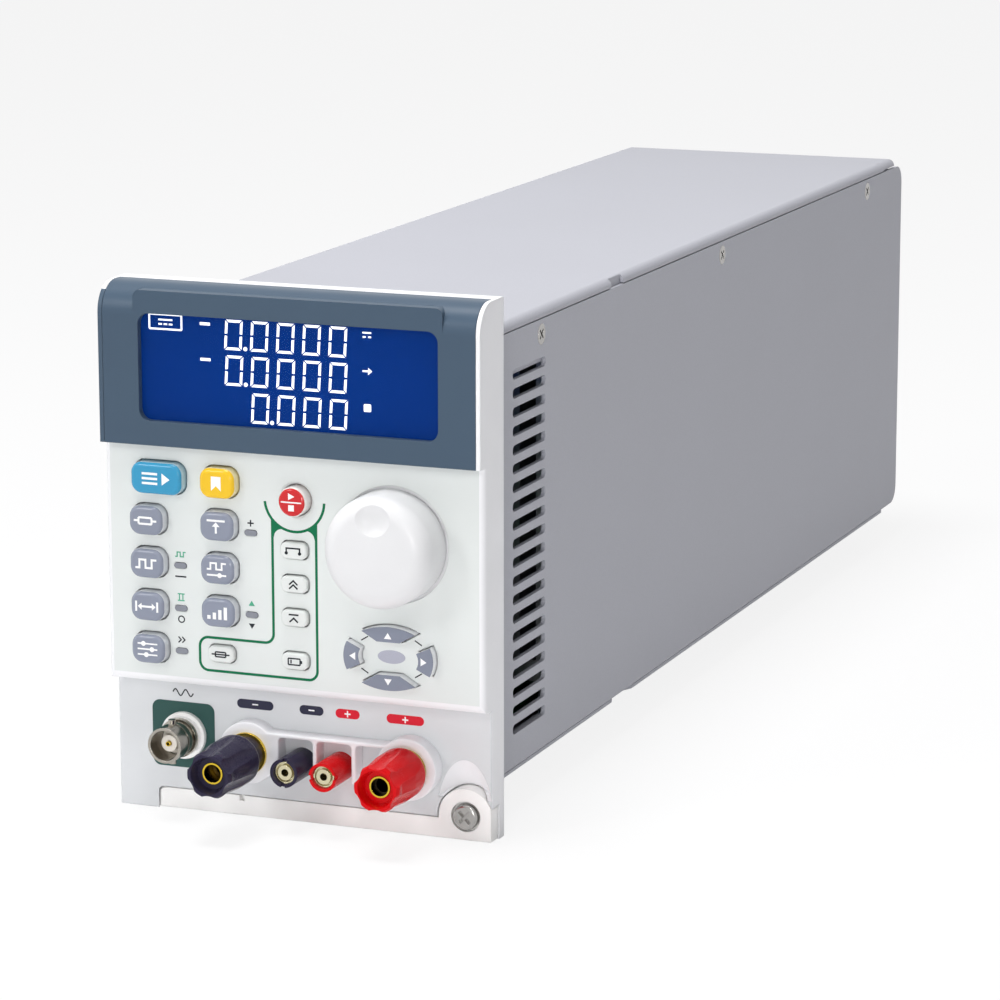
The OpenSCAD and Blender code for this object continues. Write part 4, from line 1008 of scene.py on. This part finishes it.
KEY_MARKS: Dict[str, Mark] = {
    "mode_key": Mark(lines=tuple(bar(-3.9, 0.6, y) for y in (1.3, 0.0, -1.3)), width=0.62,
                     fills=(((1.9, 1.6), (1.9, -1.6), (4.2, 0.0)),)),
    "preset_key": Mark(fills=(((-1.4, 1.9), (-1.4, -1.9), (0.0, -0.6)),
                              ((-1.4, 1.9), (0.0, -0.6), (1.4, 1.9)),
                              ((1.4, 1.9), (0.0, -0.6), (1.4, -1.9)))),
    "load_key": Mark(lines=frame_line(3.8, 1.7) + (bar(-3.3, -1.9), bar(1.9, 3.3))),
    "dynamic_key": Mark(lines=(PULSE,)),
    "range_key": Mark(lines=(stem(-3.1, -1.4, 1.4), stem(3.1, -1.4, 1.4), bar(-1.9, 1.9)),
                      fills=(((-1.5, 0.95), (-2.6, 0.0), (-1.5, -0.95)),
                             ((1.5, 0.95), (1.5, -0.95), (2.6, 0.0)))),
    "config_key": Mark(lines=tuple(bar(-2.9, 2.9, y) for y in (1.5, 0.0, -1.5)), width=0.4,
                       dots=((-1.2, 1.5, 0.68), (1.3, 0.0, 0.68), (-0.4, -1.5, 0.68))),
    "limit_key": Mark(lines=(bar(-2.6, 2.6, 1.6), stem(0.0, -1.8, 0.2)),
                      fills=(((-1.1, 0.0), (1.1, 0.0), (0.0, 1.2)),)),
    "dynamic_setting_key": Mark(lines=(tuple((x * 0.9, y * 0.75 + 1.0) for x, y in PULSE),
                                       bar(-2.8, 2.8, -1.4)), width=0.48, dots=((0.9, -1.4, 0.66),)),
    "level_key": Mark(lines=tuple(stem(x, -1.7, top) for x, top in ((-2.4, -0.7), (-0.8, 0.1), (0.8, 0.9),
                                                                    (2.4, 1.7))), width=0.95),
    "start_stop_key": Mark(lines=(bar(-2.9, 2.9),), width=0.36,
                           fills=(((-0.8, 0.65), (0.95, 1.55), (-0.8, 2.45)),
                                  ((-0.8, -2.3), (0.8, -2.3), (0.8, -0.7), (-0.8, -0.7)))),
    "short_key": Mark(lines=(((-1.9, -0.6), (-1.9, 0.7), (1.9, 0.7), (1.9, -0.6)),), width=0.4,
                      dots=((-1.9, -0.6, 0.46), (1.9, -0.6, 0.46))),
    "opp_key": Mark(lines=tuple(((-1.2, y), (0.0, y + 1.1), (1.2, y)) for y in (0.0, -1.1)), width=0.42),
    "ocp_key": Mark(lines=(((-1.2, -1.0), (0.0, 0.1), (1.2, -1.0)), bar(-1.4, 1.4, 1.0)), width=0.42),
    "bms_key": Mark(lines=frame_line(3.4, 1.7) + (stem(-0.9, -0.5, 0.5), stem(2.1, -0.4, 0.4)), width=0.38),
    "fuse_key": Mark(lines=frame_line(3.0, 1.3) + (bar(-2.6, 2.6),), width=0.38),
}
SMALL_KEYS = ("short_key", "opp_key", "ocp_key", "bms_key", "fuse_key")


@dataclass
class KeyMarks:
    """The pictograms printed on the keys, each riding on its own key."""

    def build(self) -> None:
        """Prints a mark in the middle of each key's face."""
        for node, mark in KEY_MARKS.items():
            low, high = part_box(node)
            face = Face.SMALL_KEY_TOP if node in SMALL_KEYS else Face.KEY_TOP
            ink = INK_DARK if node in SMALL_KEYS else INK_WHITE
            sketch = Sketch()
            mark.draw(sketch)
            place = Panel.matrix(face, (low.x + high.x) / 2 / MM, (low.z + high.z) / 2 / MM, -SINK)
            sketch.piece(node.replace("_key", "_mark"), place, FILM, ink, node)


class Way(Enum):
    """Directions of the arrow pad, with the turn of each from the first."""

    UP = 0
    DOWN = 180
    LEFT = 90
    RIGHT = -90


@dataclass
class ArrowPad:
    """White triangles on the arrow keys, with the oval and the short lines between the keys."""

    centre: Point = (28.0, 49.3)
    up_tip: float = 7.0
    side_tip: float = 10.85
    depth: float = 1.65
    half: float = 1.05
    oval: Point = (3.9, 1.8)
    tick_from: Point = (8.55, 3.75)
    tick_to: Point = (6.6, 4.95)
    tick: float = 0.32

    def build(self) -> None:
        """Prints the pad."""
        for way in Way:
            tip = self.up_tip if way in (Way.UP, Way.DOWN) else self.side_tip
            turn = Matrix.Rotation(math.radians(way.value), 2)
            corners = ((0, tip), (-self.half, tip - self.depth), (self.half, tip - self.depth))
            body = f"{way.name.lower()}_key"
            sketch = Sketch().polygon([tuple(turn @ Vector(c)) for c in corners])
            sketch.piece(f"{way.name.lower()}_triangle", Panel.matrix(Face.ARROW_TOP, *self.centre, -SINK),
                         FILM, INK_WHITE, body)
        pad = Panel.matrix(Face.KEYPAD, *self.centre, -SINK)
        oval = Sketch().disc((0, 0), self.oval[0], self.oval[1] / self.oval[0])
        oval.piece("pad_oval", pad, THICK_FILM, INK_OVAL)
        ticks = Sketch()
        for sx in (-1, 1):
            for sy in (-1, 1):
                ticks.ribbon([(sx * self.tick_from[0], sy * self.tick_from[1]),
                              (sx * self.tick_to[0], sy * self.tick_to[1])], self.tick)
        ticks.piece("pad_ticks", pad, FILM, INK_DARK)


@dataclass
class KeypadPrint:
    """The green line round the test keys, and the small signs beside the indicator lenses."""

    line: float = 0.7
    left: float = -5.6
    right: float = 6.9
    far_left: float = -27.1
    step_z: float = 49.9
    low_z: float = 40.9
    top_z: float = 80.9
    web: float = 3.9
    web_steps: int = 14
    start: Point = (0.8, 88.9)
    arc_r: float = 8.5
    arc_span: Point = (186.0, 172.0)
    corner: float = 2.5
    limit_z: float = 79.15
    dynamic_z: float = 68.7
    level_z: float = 57.1
    config_z: float = 45.5
    lens_half: float = 1.8
    plus_lift: float = 2.6
    sign_lift: float = 3.0

    def build(self) -> None:
        """Prints the line and the signs."""
        self.green_line()
        self.signs()

    def green_line(self) -> None:
        """The line, its arc under the start key and the webs that join them."""
        def meet(x: float) -> float:
            """Height at which an upright at x meets the arc."""
            return self.start[1] - math.sqrt(self.arc_r ** 2 - (x - self.start[0]) ** 2)

        loop = [(self.left, meet(self.left)), (self.left, self.step_z), (self.far_left, self.step_z),
                (self.far_left, self.low_z), (self.right, self.low_z), (self.right, meet(self.right))]
        sketch = Sketch().ribbon(rounded(loop, self.corner), self.line)
        sketch.arc(self.start, self.arc_r, self.line, *self.arc_span)
        for x, side in ((self.left, 1), (self.right, -1)):
            edge = x + side * self.line / 2
            columns = []
            for i in range(self.web_steps + 1):
                across = self.web * i / self.web_steps
                drop = self.corner - math.sqrt(self.corner ** 2 - max(0.0, self.corner - across) ** 2)
                here = edge + side * across
                foot = self.top_z - drop
                columns.append(((here, max(meet(here), foot + SINK)), (here, foot)))
            sketch.strip(columns)
        sketch.piece("test_line", Panel.matrix(Face.KEYPAD, lift=-SINK), THICK_FILM, INK_LINE)

    def signs(self) -> None:
        """Small signs above and below the lenses."""
        low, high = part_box("led_lenses")
        right_x, left_x = high.x / MM - self.lens_half, low.x / MM + self.lens_half
        lift = self.sign_lift
        green, dark = Sketch(), Sketch()
        up = ((-0.9, -0.6), (0.9, -0.6), (0.0, 0.8))
        down = ((-0.9, 0.6), (0.0, -0.8), (0.9, 0.6))
        plus = Mark(lines=(bar(-0.9, 0.9), stem(0.0, -0.9, 0.9)), width=0.36)
        plus.draw(dark, right_x, self.limit_z + self.plus_lift)
        Mark(fills=(up,)).draw(green, right_x, self.level_z + lift)
        Mark(fills=(down,)).draw(dark, right_x, self.level_z - lift)
        Mark(lines=(SMALL_PULSE,), width=0.32).draw(green, left_x, self.dynamic_z + lift)
        Mark(lines=(bar(-1.6, 1.6),), width=0.4).draw(dark, left_x, self.dynamic_z - lift)
        pair = Mark(lines=(stem(-0.5, -0.9, 0.9), stem(0.5, -0.9, 0.9), bar(-1.0, 1.0, 0.9),
                           bar(-1.0, 1.0, -0.9)), width=0.3)
        pair.draw(green, left_x, self.level_z + lift)
        dark.arc((left_x, self.level_z - lift), 0.85, 0.34)
        quick = Mark(lines=(((-1.0, -0.8), (-0.2, 0.0), (-1.0, 0.8)), ((0.1, -0.8), (0.9, 0.0), (0.1, 0.8))),
                     width=0.34)
        quick.draw(dark, left_x, self.config_z + lift)
        face = Panel.matrix(Face.KEYPAD, lift=-SINK)
        green.piece("lens_signs_green", face, FILM, INK_LEAF)
        dark.piece("lens_signs_dark", face, FILM, INK_DARK)


@dataclass
class TerminalPrint:
    """The dark square behind the coaxial socket and the four polarity pills."""

    square: Quad = (-34.7, 21.0, 18.4, 18.2)
    square_r: float = 2.3
    wave_z: float = 32.6
    wave: Triple = (3.0, 0.9, 36.0)
    wave_steps: int = 20
    wave_line: float = 0.34
    pill_z: float = 31.3
    pill_h: float = 2.5
    pill_round: float = 0.49
    sign: Point = (0.85, 0.36)
    sign_lift: float = 0.03
    navy_pills: Tuple[Point, ...] = ((-13.5, 10.6), (2.85, 6.9))
    red_pills: Tuple[Point, ...] = ((13.24, 6.9), (29.7, 10.6))

    def build(self) -> None:
        """Prints the terminal face."""
        x, z, w, h = self.square
        face = Panel.matrix(Face.TERMINAL, lift=-SINK)
        Sketch().plate((x, z), (w, h), self.square_r).piece("coax_square", face, THICK_FILM, INK_PINE)
        half, swing, turn = self.wave
        step = 2 * half / self.wave_steps
        wave = [(x + step * i - half, self.wave_z + swing * math.sin(math.radians(turn * i)))
                for i in range(self.wave_steps + 1)]
        Sketch().ribbon(wave, self.wave_line).piece("signal_sign", face, FILM, INK_DARK)
        signs = Sketch()
        arm, line = self.sign
        rows = ((self.navy_pills, INK_NAVY, "pills_navy"), (self.red_pills, INK_RED, "pills_red"))
        for pills, ink, name in rows:
            sketch = Sketch()
            for px, width in pills:
                sketch.plate((px, self.pill_z), (width, self.pill_h), self.pill_h * self.pill_round)
                signs.ribbon(bar(px - arm, px + arm, self.pill_z), line)
                if ink is INK_RED:
                    signs.ribbon(stem(px, self.pill_z - arm, self.pill_z + arm), line)
            sketch.piece(name, face, THICK_FILM, ink)
        signs.piece("pill_signs", Panel.matrix(Face.TERMINAL, lift=self.sign_lift), FILM, INK_WHITE)


# Rear of the case


@dataclass
class RearFittings:
    """Pan-head screws that hold the fan, and the contacts inside the rear plug."""

    fan_hole: float = 35.7
    fan_z: float = 84.0
    head: Tuple[Point, ...] = ((0.0, 2.0), (1.5, 1.94), (2.6, 1.6), (3.3, 0.95), (3.6, 0.0), (0.0, 0.0))
    # Reach and width of each painted recess shade, then its lift off the panel and its thickness
    cross: Point = (2.0, 0.55)
    cross_y: Point = (1.9, 0.11)
    pin_r: float = 0.5
    pin_taper: float = 0.9
    pin_sides: int = 12
    pin_inset: float = 1.2
    hole_depth: float = 8.0
    pins: Tuple[int, int] = (12, 2)
    pin_pitch: float = 5.0
    plug_h: float = 11.0

    def build(self) -> None:
        """Makes the screws and the contacts."""
        self.screws()
        self.contacts()

    def screws(self) -> None:
        """Four heads on the rear panel, each with a dark cross painted on as the shade in its cross recess.
        """
        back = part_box("rear_panel")[1].y
        heads, recess_shade = bmesh.new(), Sketch()
        for x in (-self.fan_hole, self.fan_hole):
            for z in (self.fan_z - self.fan_hole, self.fan_z + self.fan_hole):
                centre = Vector((x * MM, back, z * MM))
                ring = [heads.verts.new(centre + Vector((r, h, 0)) * MM) for r, h in self.head]
                edges = [heads.edges.new(pair) for pair in zip(ring, ring[1:])]
                bmesh.ops.spin(heads, geom=ring + edges, cent=centre, axis=(0, 1, 0), angle=math.tau,
                               steps=CIRCLE_SIDES, use_merge=True)
                reach = self.cross[0]
                recess_shade.ribbon(bar(-x - reach, -x + reach, z), self.cross[1])
                recess_shade.ribbon(stem(-x, z - reach, z + reach), self.cross[1])
        bmesh.ops.remove_doubles(heads, verts=heads.verts[:], dist=1e-6)
        dress_mesh(heads, "fan_screws", STEEL, "chassis")
        lift, height = self.cross_y
        # The dark cross is painted shade standing in for the screw's cross recess
        recess_shade.piece("fan_screw_recess_shade", Panel.behind(back + lift * MM), height, DARK)

    def contacts(self) -> None:
        """A gold pin in each hole of the plug."""
        _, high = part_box("rear_connector")
        length = (self.hole_depth - self.pin_inset) * MM
        mesh = bmesh.new()
        for i in range(self.pins[0]):
            for j in range(self.pins[1]):
                x = (i - (self.pins[0] - 1) / 2) * self.pin_pitch * MM
                z = high.z - self.plug_h / 2 * MM + (j - (self.pins[1] - 1) / 2) * self.pin_pitch * MM
                y = high.y - self.pin_inset * MM - length / 2
                turn = Matrix.Translation((x, y, z)) @ Matrix.Rotation(math.radians(90), 4, "X")
                bmesh.ops.create_cone(mesh, cap_ends=True, segments=self.pin_sides, radius1=self.pin_r * MM,
                                      radius2=self.pin_r * MM * self.pin_taper, depth=length, matrix=turn)
        dress_mesh(mesh, "plug_contacts", GOLD, "chassis")


# Solids with rolled edges


@dataclass
class Rolled:
    """A solid's own shape with its edges rolled, standing in for it."""

    node: str
    finish: Finish
    body: str
    slot: str
    radius: float = 0.4
    angle: float = 40.0
    segments: int = 3
    merge: float = 2e-6
    flat: float = 0.6
    smooth: float = 30.0

    def build(self) -> None:
        """Copies the solid, joins its triangles and bevels its sharp edges."""
        mesh = bmesh.new()
        mesh.from_mesh(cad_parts[self.node].data)
        bmesh.ops.remove_doubles(mesh, verts=mesh.verts[:], dist=self.merge)
        bmesh.ops.dissolve_limit(mesh, angle_limit=math.radians(self.flat), verts=mesh.verts[:],
                                 edges=mesh.edges[:])
        sharp = [e for e in mesh.edges if e.is_manifold and e.calc_face_angle() > math.radians(self.angle)]
        bmesh.ops.bevel(mesh, geom=sharp, offset=self.radius * MM, offset_type="OFFSET", affect="EDGES",
                        segments=self.segments, profile=0.5, clamp_overlap=True, material=-1)
        piece = dress_mesh(mesh, f"{self.node}_rolled", self.finish, self.body, self.smooth)
        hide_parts(self.node)


# Finishes of the solids


GREY_KEYS = ("load_key", "dynamic_key", "range_key", "config_key", "limit_key", "dynamic_setting_key",
             "level_key")
ARROW_KEYS = ("up_key", "down_key", "left_key", "right_key")

NODE_FINISHES: Dict[Finish, Tuple[str, ...]] = {
    WHITE_SHELL: ("front_frame",),
    WHITE_PART: ("extraction_lever", "bnc_flange"),
    WHITE_KNOB: ("knob",),
    WHITE_KEY: SMALL_KEYS,
    MILKY: ("terminal_shroud",),
    SLATE: ("display_bezel",),
    WINDOW: ("display_window",),
    LCD: ("lcd_module",),
    BOARD: ("control_board", "power_board"),
    DARK: ("tact_switches", "encoder_body", "rear_connector", "fan_frame", "fan_rotor", "power_transistors"),
    KEY_BLUE: ("mode_key",),
    KEY_YELLOW: ("preset_key",),
    KEY_RED: ("start_stop_key",),
    KEY_GREY: GREY_KEYS,
    KEY_ARROW: ARROW_KEYS,
    LENS: ("led_lenses",),
    STEEL: ("encoder_shaft", "lever_pin", "captive_screw", "case_screws"),
    NICKEL: ("bnc_shell",),
    CONTACT: ("sense_contacts",),
    PTFE: ("bnc_dielectric",),
    GOLD: ("bnc_contact", "load_washers"),
    SHADED_STUD: ("load_studs",),
    NEG_RING: ("neg_insert",),
    POS_RING: ("pos_insert",),
    POST_NAVY: ("neg_collar", "neg_cap", "sense_neg_sleeve"),
    POST_RED: ("pos_collar", "pos_cap", "sense_pos_sleeve"),
    CASE: ("right_panel", "left_panel", "top_cover", "bottom_plate", "rear_panel"),
    FINS: ("heatsink",),
}


def dress_solids() -> None:
    """Gives every solid its finish."""
    for finish, nodes in NODE_FINISHES.items():
        for name in nodes:
            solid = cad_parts[name]
            if not solid.material_slots:
                solid.data.materials.append(finish.material())
            for slot in solid.material_slots:
                slot.material = finish.material()
            LOG.info("solid %s in %s", name, finish.name)


# Studio


@dataclass(frozen=True)
class Lamp:
    """A round soft lamp."""

    name: str
    place: Triple
    width: float
    watts: float
    aim: Triple = (0.0, -0.15, 0.05)

    def build(self) -> None:
        """Hangs the lamp, facing its aim."""
        data = bpy.data.lights.new(self.name, "AREA")
        data.shape = "DISK"
        data.size = self.width
        data.energy = self.watts
        lamp = linked(self.name, data)
        away = Vector(self.place) - Vector(self.aim)
        lamp.matrix_world = Matrix.Translation(self.place) @ away.to_track_quat("Z", "Y").to_matrix().to_4x4()


@dataclass
class Studio:
    """Pale floor, soft light and the camera at the photograph's angle."""

    eye: Triple = (424.72, -946.85, 305.98)
    yaw: float = 21.437
    pitch: float = 11.976
    roll: float = -0.062
    focal_px: float = 4019.42
    sensor: float = 36.0
    floor_size: float = 30.0
    floor_white: Rgb = (244, 244, 245)
    floor_glow: float = 0.86
    sky_left: float = 0.38
    sky_right: float = 0.2
    sky_stops: Point = (0.3, 0.9)
    sky_blue: float = 1.02
    far: float = 100.0
    lamps: Tuple[Lamp, ...] = (
        Lamp("key_lamp", (-1.05, -1.75, 1.15), 0.6, 8.5),
        Lamp("top_lamp", (-0.1, -0.25, 1.25), 0.5, 12.4),
        Lamp("right_lamp", (0.75, -1.5, 1.45), 0.15, 3.0),
        Lamp("low_lamp", (0.42, -1.7, 0.17), 0.3, 5.5),
    )

    def build(self) -> None:
        """Sets up the studio."""
        self.camera()
        self.floor()
        self.sky()
        for lamp in self.lamps:
            lamp.build()
        bpy.context.scene.view_settings.view_transform = "Standard"

    def camera(self) -> None:
        """The camera, from its measured place and angles."""
        yaw, pitch, roll = (math.radians(a) for a in (self.yaw, self.pitch, self.roll))
        ahead = Vector((-math.sin(yaw) * math.cos(pitch), math.cos(yaw) * math.cos(pitch), -math.sin(pitch)))
        across = Vector((math.cos(yaw), math.sin(yaw), 0))
        above = across.cross(ahead)
        right = across * math.cos(roll) + above * math.sin(roll)
        up = above * math.cos(roll) - across * math.sin(roll)
        data = bpy.data.cameras.new("camera")
        data.sensor_width = self.sensor
        data.lens = self.sensor * self.focal_px / IMAGE_PX
        data.clip_end = self.far
        camera = linked("camera", data)
        place = Vector(self.eye) * MM + Vector((0, Panel.rear_y(), 0))
        turn = Matrix((right, up, -ahead)).transposed().to_4x4()
        camera.matrix_world = Matrix.Translation(place) @ turn
        bpy.context.scene.camera = camera

    def floor(self) -> None:
        """A wide pale floor that keeps the object's shadow."""
        mesh = bmesh.new()
        bmesh.ops.create_grid(mesh, x_segments=1, y_segments=1, size=self.floor_size / 2)
        data = mesh_data(mesh, "floor")
        shader = Shader("floor_paper")
        white = linear(self.floor_white)
        paper = shader.out(shader.node("ShaderNodeBsdfDiffuse", None, {"Color": white}))
        glow = shader.out(shader.node("ShaderNodeEmission", None, {"Color": (1, 1, 1, 1), "Strength": 1.0}))
        mixed = shader.node("ShaderNodeMixShader", None,
                            {0: shader.seen() * self.floor_glow, 1: paper, 2: glow})
        data.materials.append(shader.close(shader.out(mixed)))
        floor = linked("floor", data)

    def sky(self) -> None:
        """Soft light from all round, weaker from the right."""
        world = bpy.data.worlds.new("studio_sky")
        bpy.context.scene.world = world
        graph = Graph(world)
        x, _, _ = graph.axes(graph.out(graph.node("ShaderNodeTexCoord"), "Generated"))
        levels = ((level, level, level * self.sky_blue, 1.0) for level in (self.sky_left, self.sky_right))
        tone = graph.ramp(graph.clamp(x * 0.5 + 0.5), list(zip(self.sky_stops, levels)))
        soft = graph.node("ShaderNodeBackground", None, {"Color": tone, "Strength": 1.0})
        white = graph.node("ShaderNodeBackground", None, {"Color": (1, 1, 1, 1), "Strength": 1.0})
        mixed = graph.node("ShaderNodeMixShader", None,
                           {0: graph.seen(), 1: graph.out(soft), 2: graph.out(white)})
        graph.node("ShaderNodeOutputWorld", None, {"Surface": graph.out(mixed)})


ROLLED = (Rolled("terminal_shroud", MILKY, "chassis", "frame_white", 0.7),
          *(Rolled(key, KEY_ARROW, key, "key_grey", 0.5) for key in ARROW_KEYS))


def main() -> None:
    """Builds the object's looks and the studio in order."""
    logging.basicConfig(level=logging.INFO, format="%(name)s: %(message)s")
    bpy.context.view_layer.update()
    dress_solids()
    for solid in ROLLED:
        solid.build()
    for part in (Readout(), KeyMarks(), ArrowPad(), KeypadPrint(), TerminalPrint(), RearFittings(), Studio()):
        part.build()


if __name__ == "__main__":
    main()
